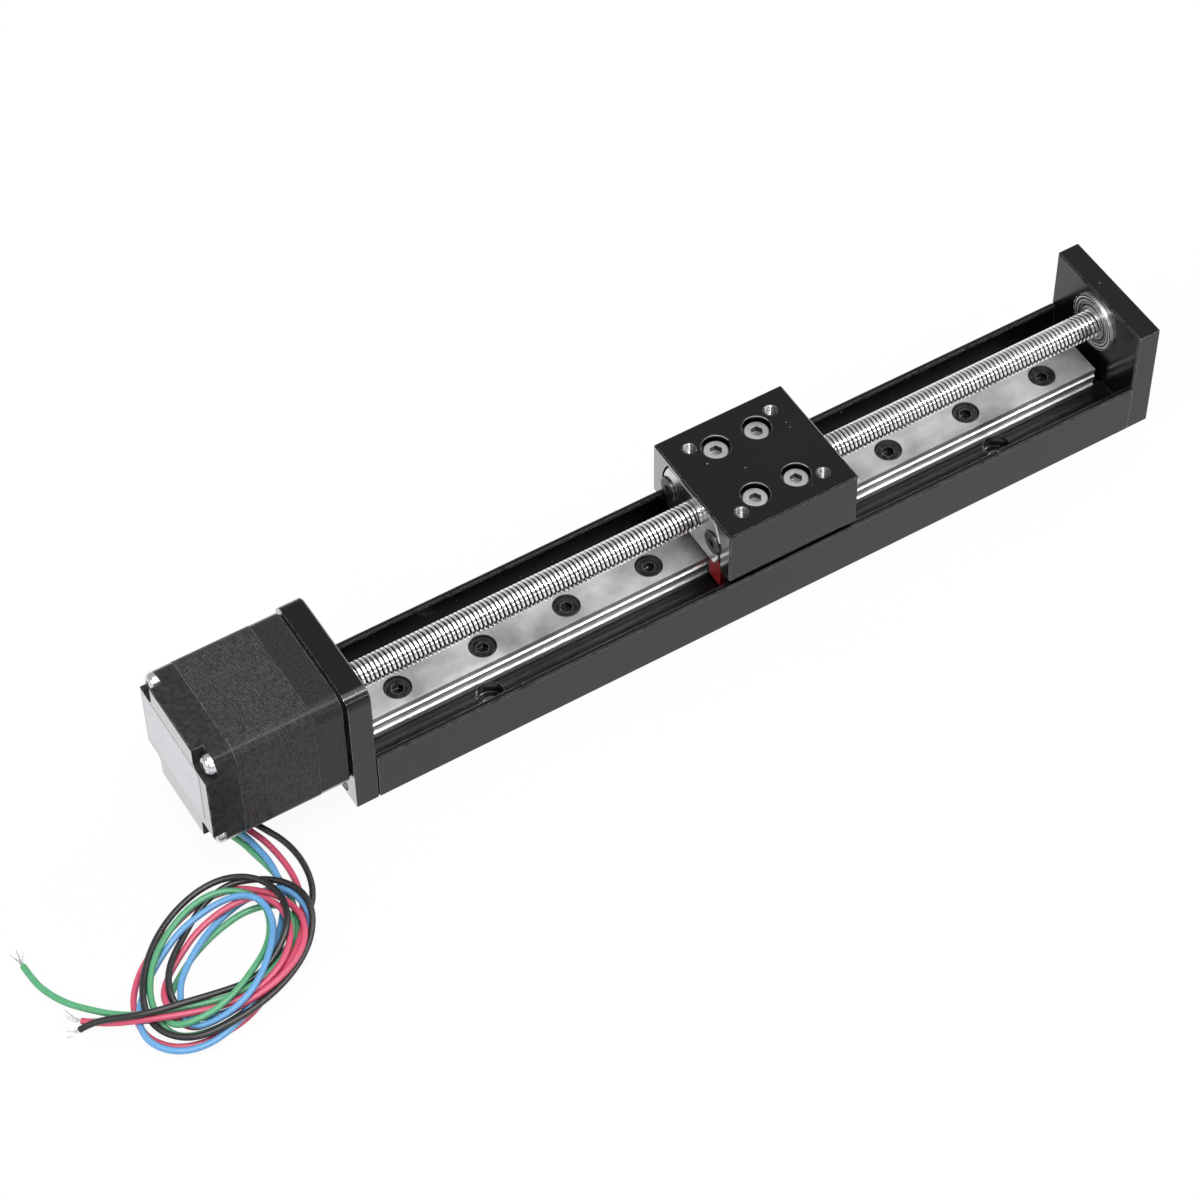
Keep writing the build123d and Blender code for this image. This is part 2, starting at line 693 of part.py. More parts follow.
def lead_tube(name, points):
    """A lead's tube on straight runs joined by tangent arcs; prints its radii and its volume's error."""
    points = [Vector(*p) for p in points]
    radii = []
    for a, b, c in zip(points, points[1:], points[2:]):
        shorter = min((b - a).length, (c - b).length)
        turn = (b - a).get_angle(c - b)
        radii.append(lead_bend * shorter / tan(radians(turn) / 2))
    path = FilletPolyline(*points, radius=radii)
    section = Plane(path @ 0, z_dir=path % 0) * Circle(lead_diameter / 2)
    solid = sweep(section, path=path)
    ideal = pi * (lead_diameter / 2) ** 2 * path.length
    shown = " ".join(f"{r:.1f}" for r in radii)
    print(f"{name}: length {path.length:.1f} radii {shown} volume off {solid.volume / ideal - 1:.5f}")
    return solid


def make_leads():
    for name, start in zip(lead_names, lead_exits()):
        parts["lead_" + name] = lead_tube("lead_" + name, [start] + lead_drop[name])
        parts["tail_" + name] = lead_tube("tail_" + name, lead_tail[name])
    ring = extrude(Ellipse(*coil_ring_outer) - Ellipse(*coil_ring_inner), coil_ring_height)
    ring = fillet(ring.edges(), coil_ring_height * coil_ring_round)
    parts["lead_coil"] = Pos(*coil_ring_centre, 0) * Rot(0, 0, coil_ring_tilt) * ring


parts["base"] = make_base()
parts["guide_rail"] = make_rail()
parts["rail_screws"] = make_rail_screws()
parts["motor_plate"] = make_motor_plate()
parts["motor_plate_screws"] = make_plate_screws(-1)
parts["end_plate"] = make_end_plate()
parts["end_plate_screws"] = make_plate_screws(1)
make_end_bearing()
parts["motor_front_cap"] = make_front_cap()
parts["motor_stator"] = make_stator()
parts["motor_windings"] = make_windings()
parts["motor_rear_cap"] = make_rear_cap()
parts["motor_case_screws"] = make_case_screws()
parts["motor_screws"] = make_motor_screws()
make_motor_bearings()
make_rotor()
parts["lead_screw"] = make_lead_screw()
parts["flange_nut"] = make_nut()
parts["nut_screws"] = make_nut_screws()
parts["slider"] = make_slider()
parts["slider_screws"] = make_slider_screws()
make_ball_block()
parts["lead_grommet"] = make_grommet()
make_leads()

os.makedirs("parts", exist_ok=True)
for name, solid in parts.items():
    export_step(solid, f"parts/{name}.step")
print(f"{len(parts)} nodes written")
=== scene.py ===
# %% [markdown]
# # A small motorized linear stage
# The real object is a black anodised channel with a ground steel rail, a slider that a lead screw
# moves, and a small stepper motor with four loose leads. The measured parts come from CAD, so this
# lesson only dresses them: camera and light, finishes made of shader nodes, and the few pieces
# that CAD leaves plain, such as the screw's thread and the leads. MM turns millimetres into metres,
# and SCREW_AXIS is the height in millimetres of the axis that the screw and the motor share.

# %% Load the measured parts
import math
import random

import bmesh
import bpy
import numpy as np
from mathutils import Matrix, Vector


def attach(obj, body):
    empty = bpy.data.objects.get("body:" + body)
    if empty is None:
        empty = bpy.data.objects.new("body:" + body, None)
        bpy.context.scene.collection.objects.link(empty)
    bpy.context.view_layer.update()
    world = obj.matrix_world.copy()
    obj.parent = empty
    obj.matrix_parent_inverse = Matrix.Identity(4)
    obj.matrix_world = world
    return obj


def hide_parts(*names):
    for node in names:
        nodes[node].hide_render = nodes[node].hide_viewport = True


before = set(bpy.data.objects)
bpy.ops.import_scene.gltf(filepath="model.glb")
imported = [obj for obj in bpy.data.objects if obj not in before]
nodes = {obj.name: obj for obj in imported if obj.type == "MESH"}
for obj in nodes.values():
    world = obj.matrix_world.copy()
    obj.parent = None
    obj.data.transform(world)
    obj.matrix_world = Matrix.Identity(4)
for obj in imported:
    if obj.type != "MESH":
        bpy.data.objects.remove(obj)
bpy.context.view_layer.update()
MM = 0.001
SCREW_AXIS = 20.7

# %% [markdown]
# ## Camera
# A product photograph of something this long is taken from far away with a long lens, which keeps
# the two ends nearly the same size. Lens and place were solved from the edges and bolt holes of the
# parts, so an exact matrix is simpler than aiming with a constraint.

# %% Place the camera
camera_place = Vector((-283.468, -421.469, 632.267)) * MM
camera_right = Vector((0.85366949, -0.52076029, -0.00755792))
camera_up = Vector((0.41359518, 0.66903415, 0.61752112))
camera_back = Vector((-0.31652397, -0.53028486, 0.78651799))

camera_data = bpy.data.cameras.new("camera")
camera_data.lens = 114.826
camera_data.sensor_width = 36.0
camera_data.clip_start = 0.01
camera_data.clip_end = 20.0
camera = bpy.data.objects.new("camera", camera_data)
camera.matrix_world = Matrix.Translation(camera_place) @ Matrix(
    (camera_right, camera_up, camera_back)).transposed().to_4x4()
bpy.context.scene.collection.objects.link(camera)
bpy.context.scene.camera = camera
bpy.context.scene.view_settings.view_transform = "Standard"
print("camera looks along", -camera_back)

# %% [markdown]
# ## Node helpers
# Every finish below is a small tree of shader nodes. A few helpers keep the trees readable: they
# add a node with its settings, join two sockets, read a place or a direction on the object, and
# start or use a node group with named inputs and outputs.


# %% Helpers for shader nodes
def add(tree, kind, values=(), **settings):
    """Adds a node, with its socket values by name and its settings by keyword."""
    made = tree.nodes.new("ShaderNode" + kind)
    for name, value in settings.items():
        setattr(made, name, value)
    for name, value in dict(values).items():
        made.inputs[name].default_value = value
    return made


def join(tree, source, target):
    tree.links.new(source, target)


def maths(tree, operation, first, second=0.0, third=None, clamp=False):
    """One Math node; each input is a number or the socket that feeds it."""
    made = add(tree, "Math", operation=operation, use_clamp=clamp)
    for place, value in enumerate((first, second, third)):
        if value is None:
            continue
        if isinstance(value, (int, float)):
            made.inputs[place].default_value = value
        else:
            join(tree, value, made.inputs[place])
    return made.outputs[0]


def object_axes(tree):
    """The X, Y and Z of a point on the object, in metres."""
    where = add(tree, "TexCoord")
    axes = add(tree, "SeparateXYZ")
    join(tree, where.outputs["Object"], axes.inputs[0])
    return axes.outputs


def facing_along(tree, axis):
    """How far the surface looks along an axis, either way."""
    normal = add(tree, "SeparateXYZ")
    join(tree, add(tree, "NewGeometry").outputs["Normal"], normal.inputs[0])
    return maths(tree, "ABSOLUTE", normal.outputs[axis])


def start_group(name, inputs, outputs):
    tree = bpy.data.node_groups.new(name, "ShaderNodeTree")
    for label, kind, value in inputs:
        socket = tree.interface.new_socket(label, in_out="INPUT", socket_type="NodeSocket" + kind)
        socket.default_value = value
    for label, kind in outputs:
        tree.interface.new_socket(label, in_out="OUTPUT", socket_type="NodeSocket" + kind)
    return tree, tree.nodes.new("NodeGroupInput").outputs, tree.nodes.new("NodeGroupOutput").inputs


def use_group(tree, group, **values):
    made = tree.nodes.new("ShaderNodeGroup")
    made.node_tree = group
    for name, value in values.items():
        made.inputs[name.replace("_", " ")].default_value = value
    return made.outputs


# %% [markdown]
# ## Worn edges
# Anodised and painted edges lose their colour first, in short bright pieces and not along the
# whole edge. A Bevel node finds edges on any mesh: where its rounded normal turns away from the
# true one there is an edge. A noise then breaks the line into pieces.

# %% Group: worn edges
EDGE_GAIN, PATCH_GAIN = 6.0, 12.0
worn_edges, given, out = start_group(
    "worn edges",
    [("Width", "Float", 0.0003), ("Patch scale", "Float", 400.0), ("Bare share", "Float", 0.5)],
    [("Mask", "Float")])
rounded = add(worn_edges, "Bevel", samples=4)
join(worn_edges, given["Width"], rounded.inputs["Radius"])
true_normal = add(worn_edges, "NewGeometry")
turned = add(worn_edges, "VectorMath", operation="DOT_PRODUCT")
join(worn_edges, rounded.outputs["Normal"], turned.inputs[0])
join(worn_edges, true_normal.outputs["Normal"], turned.inputs[1])
turned_away = maths(worn_edges, "SUBTRACT", 1.0, turned.outputs["Value"])
edge = maths(worn_edges, "MULTIPLY", turned_away, EDGE_GAIN, clamp=True)
where = add(worn_edges, "TexCoord")
patches = add(worn_edges, "TexNoise", {"Detail": 4.0, "Roughness": 0.7})
join(worn_edges, where.outputs["Object"], patches.inputs["Vector"])
join(worn_edges, given["Patch scale"], patches.inputs["Scale"])
bare = maths(worn_edges, "SUBTRACT", given["Bare share"], patches.outputs["Fac"])
bare = maths(worn_edges, "MULTIPLY_ADD", bare, PATCH_GAIN, 0.5, clamp=True)
join(worn_edges, maths(worn_edges, "MULTIPLY", edge, bare), out["Mask"])
print("group:", worn_edges.name)

# %% [markdown]
# ## Grain
# Rolled, ground and cast surfaces differ in one thing only: how far their noise is stretched, and
# which way. So one group serves them all, with a stretch for each axis.

# %% Group: grain
grain, given, out = start_group(
    "grain",
    [("Stretch", "Vector", (1.0, 1.0, 1.0)), ("Scale", "Float", 2000.0), ("Detail", "Float", 3.0)],
    [("Value", "Float")])
where = add(grain, "TexCoord")
stretch = add(grain, "VectorMath", operation="MULTIPLY")
join(grain, where.outputs["Object"], stretch.inputs[0])
join(grain, given["Stretch"], stretch.inputs[1])
noise = add(grain, "TexNoise", {"Roughness": 0.6})
join(grain, stretch.outputs["Vector"], noise.inputs["Vector"])
join(grain, given["Scale"], noise.inputs["Scale"])
join(grain, given["Detail"], noise.inputs["Detail"])
join(grain, noise.outputs["Fac"], out["Value"])
print("group:", grain.name)

# %% [markdown]
# ## Specks
# Dust and tiny bright nicks show everywhere on a black part. A Voronoi texture scatters one dot
# per cell, and each cell's random colour decides whether its dot is there.

# %% Group: specks
specks, given, out = start_group(
    "specks",
    [("Cells per metre", "Float", 900.0), ("Dot size", "Float", 0.1), ("Share", "Float", 0.1)],
    [("Mask", "Float")])
where = add(specks, "TexCoord")
cells = add(specks, "TexVoronoi", {"Randomness": 1.0})
join(specks, where.outputs["Object"], cells.inputs["Vector"])
join(specks, given["Cells per metre"], cells.inputs["Scale"])
chance = add(specks, "SeparateColor")
join(specks, cells.outputs["Color"], chance.inputs["Color"])
kept = maths(specks, "LESS_THAN", chance.outputs["Red"], given["Share"])
reach = maths(specks, "MULTIPLY", given["Dot size"], chance.outputs["Green"])
near = maths(specks, "LESS_THAN", cells.outputs["Distance"], reach)
join(specks, maths(specks, "MULTIPLY", kept, near), out["Mask"])
print("group:", specks.name)

# %% [markdown]
# ## Turned rings
# The bearing faces carry fine rings round the screw's axis, left by the grinding wheel. The
# distance from that axis, fed to a noise, gives rings of uneven strength.

# %% Group: turned rings
turned_rings, given, out = start_group(
    "turned rings", [("Rings per metre", "Float", 6000.0)], [("Value", "Float"), ("Radius", "Float")])
axes = object_axes(turned_rings)
across = maths(turned_rings, "POWER", maths(turned_rings, "ABSOLUTE", axes["Y"]), 2.0)
above = maths(turned_rings, "SUBTRACT", axes["Z"], SCREW_AXIS * MM)
above = maths(turned_rings, "POWER", maths(turned_rings, "ABSOLUTE", above), 2.0)
radius = maths(turned_rings, "SQRT", maths(turned_rings, "ADD", across, above))
ring_noise = add(turned_rings, "TexNoise", {"Detail": 2.0}, noise_dimensions="1D")
join(turned_rings, radius, ring_noise.inputs["W"])
join(turned_rings, given["Rings per metre"], ring_noise.inputs["Scale"])
join(turned_rings, ring_noise.outputs["Fac"], out["Value"])
join(turned_rings, radius, out["Radius"])
print("group:", turned_rings.name)


# %% [markdown]
# ## A finish from the groups
# All the finishes share one layout: a base colour that specks and worn edges lighten, a roughness
# that the grain varies, and a bump from the same grain. Writing that layout once keeps each finish
# down to its own numbers. What is the same all over a surface goes straight on the shader.


# %% Helper: start a material
def blend_colour(tree, factor, first, second):
    """A Mix node for colours; each of the two is a colour, a grey or a socket."""
    mix = add(tree, "Mix", data_type="RGBA")
    join(tree, factor, mix.inputs["Factor"])
    for place, value in ((6, first), (7, second)):
        if isinstance(value, float):
            value = (value, value, value)
        if isinstance(value, tuple):
            mix.inputs[place].default_value = (*value, 1.0)
        else:
            join(tree, value, mix.inputs[place])
    return mix.outputs[2]


def start_material(name, **shader_values):
    material = bpy.data.materials.new(name)
    material.use_nodes = True
    tree = material.node_tree
    shader = tree.nodes["Principled BSDF"]
    for label, value in shader_values.items():
        shader.inputs[label.replace("_", " ")].default_value = value
    return material, tree, shader


def dress(material, *names):
    for name in names:
        nodes[name].data.materials[0] = material


def paint_over(tree, mask, colour):
    """Covers a finished material's base colour where the mask is white."""
    base = tree.nodes["Principled BSDF"].inputs["Base Color"]
    join(tree, blend_colour(tree, mask, base.links[0].from_socket, colour), base)


def rough_from(tree, shader, value, low, high):
    """Roughness between two values, led by a grain."""
    spread = add(tree, "MapRange", {"To Min": low, "To Max": high})
    join(tree, value, spread.inputs["Value"])
    join(tree, spread.outputs["Result"], shader.inputs["Roughness"])


def bump_from(tree, shader, value, height_mm, strength=1.0):
    bump = add(tree, "Bump", {"Strength": strength, "Distance": height_mm * MM})
    join(tree, value, bump.inputs["Height"])
    join(tree, bump.outputs["Normal"], shader.inputs["Normal"])


# %% [markdown]
# ## Sheen at a low angle
# Satin black looks black from above, but seen along its face it mirrors the white bench and turns
# light grey. A second, stronger gloss stands for that: a coat that a Layer Weight lets in only at a
# low angle, and mostly on upright faces, which have the bench in front of them. Plain Fresnel alone
# does too little, because the real skin is a stack of layers.


# %% Helper: low angle sheen
SHEEN_FROM, SHEEN_TO = 0.56, 0.7
LOST_ON_LEVEL_FACES = 0.85
SHEEN_IOR, SHEEN_ROUGHNESS = 4.0, 0.12


def low_angle_sheen(tree, shader):
    facing = add(tree, "LayerWeight", {"Blend": 0.5})
    low = add(tree, "MapRange", {"From Min": SHEEN_FROM, "From Max": SHEEN_TO})
    join(tree, facing.outputs["Facing"], low.inputs["Value"])
    upright = maths(tree, "MULTIPLY_ADD", facing_along(tree, "Z"), -LOST_ON_LEVEL_FACES, 1.0)
    share = maths(tree, "MULTIPLY", low.outputs["Result"], upright)
    join(tree, share, shader.inputs["Coat Weight"])
    plain = shader.inputs["Specular IOR Level"].default_value
    raised = maths(tree, "MULTIPLY_ADD", share, 1.0 - plain, plain)
    join(tree, raised, shader.inputs["Specular IOR Level"])
    shader.inputs["Coat IOR"].default_value = SHEEN_IOR
    shader.inputs["Coat Roughness"].default_value = SHEEN_ROUGHNESS


# %% [markdown]
# ## Black anodised aluminium
# The base, the plates and the slider are milled aluminium with a satin black anodised skin. It is
# a thin glassy layer, so it is a plain dark colour with ordinary gloss and not a dark metal. Edges
# show bare aluminium in places, and dust shows as bright specks.


# %% Finish: black anodised aluminium
def make_anodised(name, speck_share):
    material, tree, shader = start_material(name, Specular_IOR_Level=0.38)
    fine = use_group(tree, grain, Scale=2600.0, Detail=4.0)["Value"]
    broad = use_group(tree, grain, Scale=90.0, Detail=3.0)["Value"]
    worn = use_group(tree, worn_edges, Width=0.00013, Patch_scale=620.0, Bare_share=0.57)["Mask"]
    dust = use_group(tree, specks, Cells_per_metre=650.0, Dot_size=0.16, Share=speck_share)["Mask"]
    colour = blend_colour(tree, broad, (0.0018, 0.0018, 0.002), (0.0042, 0.0042, 0.0046))
    colour = blend_colour(tree, dust, colour, 0.3)
    colour = blend_colour(tree, worn, colour, 0.62)
    join(tree, colour, shader.inputs["Base Color"])
    join(tree, maths(tree, "MULTIPLY", worn, 0.8), shader.inputs["Metallic"])
    rough_from(tree, shader, broad, 0.16, 0.26)
    bump_from(tree, shader, fine, 0.002, 0.15)
    low_angle_sheen(tree, shader)
    return material


anodised = make_anodised("black anodised", 0.06)
anodised_slider = make_anodised("black anodised slider", 0.08)

# %% [markdown]
# ## Painted highlight on the counterbores' lips
# The sharp lip of each hole in the slider's top shows as a bright ring where it mirrors the lamps,
# and that ring is a painted highlight here. The lip has no face of its own, so a mask picks the top
# of the holes' round walls: upright, turned away from the slider's ends, inside its sides, and at
# the lip's height.

# %% Finish: painted highlight on the slider's lips
LIP_HEIGHT, LIP_HALF_WIDTH = 28.2, 0.13
INSIDE_SIDES = 14.0
UPRIGHT_BELOW, FACING_ENDS = 0.3, 0.995
tree = anodised_slider.node_tree
place = object_axes(tree)
wall = maths(tree, "LESS_THAN", facing_along(tree, "Z"), UPRIGHT_BELOW)
inside = maths(tree, "LESS_THAN", maths(tree, "ABSOLUTE", place["Y"]), INSIDE_SIDES * MM)
turned = maths(tree, "LESS_THAN", facing_along(tree, "X"), FACING_ENDS)
lip_highlight = maths(tree, "COMPARE", place["Z"], LIP_HEIGHT * MM, LIP_HALF_WIDTH * MM)
lip_highlight = maths(tree, "MULTIPLY", maths(tree, "MULTIPLY", wall, inside), maths(tree, "MULTIPLY", turned, lip_highlight))
# Painted highlight: a light grey ring at the lip stands for the lamps' reflection there.
paint_over(tree, lip_highlight, 0.55)
dress(anodised, "base", "motor_plate", "end_plate")
dress(anodised_slider, "slider")
print("finish:", anodised.name, anodised_slider.name)

# %% [markdown]
# ## Black paint on castings
# The motor's two caps are die castings under black paint. The front one shows a sandy skin, the
# rear one is smoother. The same tree gives both, with a coarser or finer bump.


# %% Finish: painted castings
def make_cast(name, scale, height, low, high, light, gloss):
    material, tree, shader = start_material(name, Specular_IOR_Level=gloss)
    skin = use_group(tree, grain, Scale=scale, Detail=5.0)["Value"]
    worn = use_group(tree, worn_edges, Width=0.00016, Patch_scale=240.0, Bare_share=0.52)["Mask"]
    dust = use_group(tree, specks, Cells_per_metre=700.0, Dot_size=0.14, Share=0.05)["Mask"]
    colour = blend_colour(tree, skin, 0.001, light)
    colour = blend_colour(tree, dust, colour, 0.2)
    colour = blend_colour(tree, worn, colour, 0.5)
    join(tree, colour, shader.inputs["Base Color"])
    rough_from(tree, shader, skin, low, high)
    bump_from(tree, shader, skin, height, 0.8)
    low_angle_sheen(tree, shader)
    return material


cast_front = make_cast("cast front cap", 1900.0, 0.07, 0.2, 0.34, 0.072, 0.1)
cast_rear = make_cast("cast rear cap", 900.0, 0.012, 0.16, 0.28, 0.082, 0.05)
dress(cast_front, "motor_front_cap")
dress(cast_rear, "motor_rear_cap")
print("finish:", cast_front.name, cast_rear.name)


# %% [markdown]
# ## Bare metals
# The rail is ground along its length, the bearings and the nut are turned, the screws are oxidised
# black or plated. They are all metals with different colour, grain direction and gloss. Painted
# shade darkens the hexagon sockets of the slider's screws, and the heads' sides at that height.


# %% Finish: bare metals
def make_metal(name, dark, light, low, high, stretch=(1.0, 1.0, 1.0), scale=1500.0, height=0.004,
               edge_share=0.0, blotch=120.0, contrast=1.0):
    material, tree, shader = start_material(name, Metallic=1.0)
    fine = use_group(tree, grain, Stretch=stretch, Scale=scale, Detail=4.0)["Value"]
    broad = use_group(tree, grain, Scale=blotch, Detail=4.0)["Value"]
    broad = maths(tree, "MULTIPLY_ADD", broad, contrast, 0.5 - 0.5 * contrast, clamp=True)
    colour = blend_colour(tree, broad, dark, light)
    if edge_share:
        worn = use_group(tree, worn_edges, Width=0.00016, Patch_scale=500.0, Bare_share=edge_share)["Mask"]
        colour = blend_colour(tree, worn, colour, 0.75)
    join(tree, colour, shader.inputs["Base Color"])
    mixed = maths(tree, "MULTIPLY_ADD", fine, 0.5, maths(tree, "MULTIPLY", broad, 0.5))
    rough_from(tree, shader, mixed, low, high)
    bump_from(tree, shader, fine, height, 0.5)
    return material


ground_steel = make_metal("ground steel", 0.42, (0.95, 0.95, 0.955), 0.3, 0.56,
                          stretch=(0.06, 1.0, 1.0), scale=1800.0, height=0.0015, blotch=85.0, contrast=2.0)
turned_steel = make_metal("turned steel", 0.45, 0.8, 0.14, 0.3, blotch=400.0)
plated = make_metal("bright plating", (0.62, 0.62, 0.64), (0.75, 0.75, 0.77), 0.12, 0.34, scale=900.0)
black_oxide = make_metal("black oxide", 0.02, 0.09, 0.2, 0.42,
                         scale=1200.0, edge_share=0.58, blotch=700.0, contrast=2.5)
socket_steel = make_metal("grey screw steel", 0.42, 0.62, 0.3, 0.5, scale=1200.0)
rotor_iron = make_metal("rotor iron", (0.3, 0.3, 0.31), (0.42, 0.42, 0.43), 0.3, 0.5, stretch=(1.0, 0.1, 0.1))
magnet = make_metal("sintered magnet", 0.1, (0.16, 0.16, 0.165), 0.5, 0.7)
copper = make_metal("enamelled copper", (0.55, 0.2, 0.07), (0.7, 0.3, 0.12), 0.22, 0.4,
                    stretch=(0.1, 1.0, 1.0))

SOCKET_FLOOR, SOCKET_MOUTH = 25.62, 27.06
tree = socket_steel.node_tree
height = object_axes(tree)["Z"]
below_mouth = maths(tree, "LESS_THAN", height, SOCKET_MOUTH * MM)
above_floor = maths(tree, "GREATER_THAN", height, SOCKET_FLOOR * MM)
# Painted shade: between the socket's floor and its mouth the colour is near black, in the sockets and on the
# heads' sides.
paint_over(tree, maths(tree, "MULTIPLY", below_mouth, above_floor), 0.03)
dress(ground_steel, "guide_rail", "block_body")
dress(turned_steel, "flange_nut", "block_balls", "end_bearing_balls", "front_bearing_balls",
      "rear_bearing_balls", "preload_washer", "front_bearing_outer_ring", "rear_bearing_outer_ring",
      "front_bearing_inner_ring", "rear_bearing_inner_ring")
dress(plated, "motor_case_screws")
dress(socket_steel, "slider_screws")
dress(black_oxide, "rail_screws", "motor_plate_screws", "end_plate_screws", "motor_screws", "nut_screws")
dress(rotor_iron, "rotor_cups")
dress(magnet, "rotor_magnet")
dress(copper, "motor_windings")
print("metals:", ground_steel.name, turned_steel.name, plated.name, black_oxide.name)

# %% [markdown]
# ## Bearing faces
# The flanged end bearing is the brightest thing in the picture. Its rings carry fine turned marks
# round the axis, which the ring group gives as colour, roughness and bump.


# %% Finish: ringed steel
def make_ringed(name, dark, light, low, high):
    material, tree, shader = start_material(name, Metallic=1.0)
    rings = use_group(tree, turned_rings, Rings_per_metre=2600.0)["Value"]
    clear = add(tree, "MapRange", {"From Min": 0.42, "From Max": 0.58})
    join(tree, rings, clear.inputs["Value"])
    rings = clear.outputs["Result"]
    join(tree, blend_colour(tree, rings, dark, light), shader.inputs["Base Color"])
    rough_from(tree, shader, rings, low, high)
    bump_from(tree, shader, rings, 0.05, 1.0)
    return material


ringed = make_ringed("ringed bearing steel", 0.12, 0.9, 0.15, 0.35)
shield = make_ringed("bearing shield", 0.05, 0.6, 0.2, 0.4)
dress(ringed, "end_bearing_outer_ring", "end_bearing_inner_ring")
dress(shield, "end_bearing_shields")
print("finish:", ringed.name, shield.name)


# %% [markdown]
# ## Plastics and rubber
# The block's end caps and the lead grommet are black moulded plastic, its wipers are red rubber.
# A moulded surface is even, with a very fine spark-eroded skin. Over the rail, as far out as
# LIP_REACH, the wiper's sealing lip is black.


# %% Finish: plastic and rubber
def make_moulded(name, dark, light, low, high, scale=1800.0, height=0.01):
    material, tree, shader = start_material(name, Specular_IOR_Level=0.5)
    skin = use_group(tree, grain, Scale=scale, Detail=3.0)["Value"]
    join(tree, blend_colour(tree, skin, dark, light), shader.inputs["Base Color"])
    rough_from(tree, shader, skin, low, high)
    bump_from(tree, shader, skin, height, 0.5)
    return material


LIP_REACH = 5.4
black_plastic = make_moulded("black plastic", 0.008, 0.018, 0.4, 0.55)
red_rubber = make_moulded("red rubber", (0.08, 0.001, 0.001), (0.5, 0.006, 0.008), 0.4, 0.6,
                          scale=1100.0, height=0.08)
tree = red_rubber.node_tree
above_rail = maths(tree, "LESS_THAN", maths(tree, "ABSOLUTE", object_axes(tree)["Y"]), LIP_REACH * MM)
paint_over(tree, above_rail, (0.012, 0.011, 0.011))
dress(black_plastic, "block_cap_motor_side", "block_cap_far_side", "lead_grommet")
dress(red_rubber, "block_wiper_motor_side", "block_wiper_far_side")
print("finish:", black_plastic.name, red_rubber.name)


# %% [markdown]
# ## Mesh helpers
# New pieces are drawn in millimetres as bmesh shapes and turned into metres when they become
# objects, so the numbers below read like the ones on a drawing.


# %% Helpers: from a bmesh to a piece
def to_piece(bm, name, material, body, sharp_degrees=35.0):
    """Makes a piece of a bmesh drawn in millimetres, with sharp edges kept."""
    bmesh.ops.scale(bm, vec=(MM, MM, MM), verts=bm.verts)
    bmesh.ops.recalc_face_normals(bm, faces=bm.faces)
    mesh = bpy.data.meshes.new(name)
    bm.to_mesh(mesh)
    bm.free()
    mesh.materials.append(material)
    mesh.polygons.foreach_set("use_smooth", [True] * len(mesh.polygons))
    mesh.set_sharp_from_angle(angle=math.radians(sharp_degrees))
    piece = bpy.data.objects.new(name, mesh)
    bpy.context.scene.collection.objects.link(piece)
    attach(piece, body)
    mesh.calc_loop_triangles()
    print("piece:", name, len(mesh.loop_triangles), "triangles")
    return piece


def repeat_along_x(bm, times, step):
    """Copies everything in the bmesh along X and merges the seams."""
    first = bm.verts[:] + bm.edges[:] + bm.faces[:]
    for i in range(1, times):
        copied = bmesh.ops.duplicate(bm, geom=first)["geom"]
        moved = [part for part in copied if isinstance(part, bmesh.types.BMVert)]
        bmesh.ops.translate(bm, vec=(i * step, 0.0, 0.0), verts=moved)
    bmesh.ops.remove_doubles(bm, verts=bm.verts, dist=0.001)


def cut_and_cap(bm, x, keep_above):
    """Cuts the shape square at x and closes it there."""
    cut = bmesh.ops.bisect_plane(
        bm, geom=bm.verts[:] + bm.edges[:] + bm.faces[:], plane_co=(x, 0.0, 0.0), plane_no=(1.0, 0.0, 0.0),
        clear_inner=keep_above, clear_outer=not keep_above, dist=0.0001)["geom_cut"]
    rim = [part for part in cut if isinstance(part, bmesh.types.BMEdge)]
    bmesh.ops.contextual_create(bm, geom=rim)


def add_bar(bm, x0, x1, radius, chamfer):
    """A round bar on the screw's axis, with its end edges chamfered."""
    turn = Matrix.Rotation(math.pi / 2, 4, "Y")
    made = bmesh.ops.create_cone(
        bm, cap_ends=True, segments=32, radius1=radius, radius2=radius, depth=x1 - x0,
        matrix=Matrix.Translation(((x0 + x1) / 2, 0.0, SCREW_AXIS)) @ turn)["verts"]
    rims = {e for v in made for e in v.link_edges if abs(e.verts[0].co.x - e.verts[1].co.x) < 0.001}
    bmesh.ops.bevel(bm, geom=list(rims), offset=chamfer, affect="EDGES", segments=1, profile=0.5,
                    material=-1)


# %% [markdown]
# ## The lead screw
# The real screw has a fine trapezoidal thread, one millimetre a turn, and it is what catches the
# light along the whole stage. The Screw modifier could make it, but a spin with a step along the
# axis does the same in mesh code: one turn of the tooth's outline is spun, copied, and the ends
# are cut square.

# %% Piece: threaded screw
SCREW_START, THREAD_END, SCREW_END = -96.3, 92.3, 96.2
SHAFT_START, SHAFT_RADIUS = -128.0, 2.5
CREST, ROOT = 3.0, 2.42
PITCH = 1.0
TURN_STEPS = 30
THREAD_TOOTH = (
    (0.0, ROOT), (0.16, ROOT), (0.33, CREST - 0.05), (0.38, CREST), (0.8, CREST), (0.85, CREST - 0.05),
    (1.0, ROOT))
bm = bmesh.new()
outline = [bm.verts.new((x * PITCH, 0.0, SCREW_AXIS + r)) for x, r in THREAD_TOOTH]
edges = [bm.edges.new(pair) for pair in zip(outline, outline[1:])]
bmesh.ops.spin(
    bm, geom=outline + edges, cent=(0.0, 0.0, SCREW_AXIS), axis=(1.0, 0.0, 0.0),
    dvec=(PITCH / TURN_STEPS, 0.0, 0.0), angle=math.tau, steps=TURN_STEPS, use_merge=False,
    use_duplicate=False)
turns = math.ceil((THREAD_END - SCREW_START) / PITCH) + 3
bmesh.ops.translate(bm, vec=(SCREW_START - 2.0 * PITCH, 0.0, 0.0), verts=bm.verts)
repeat_along_x(bm, turns, PITCH)
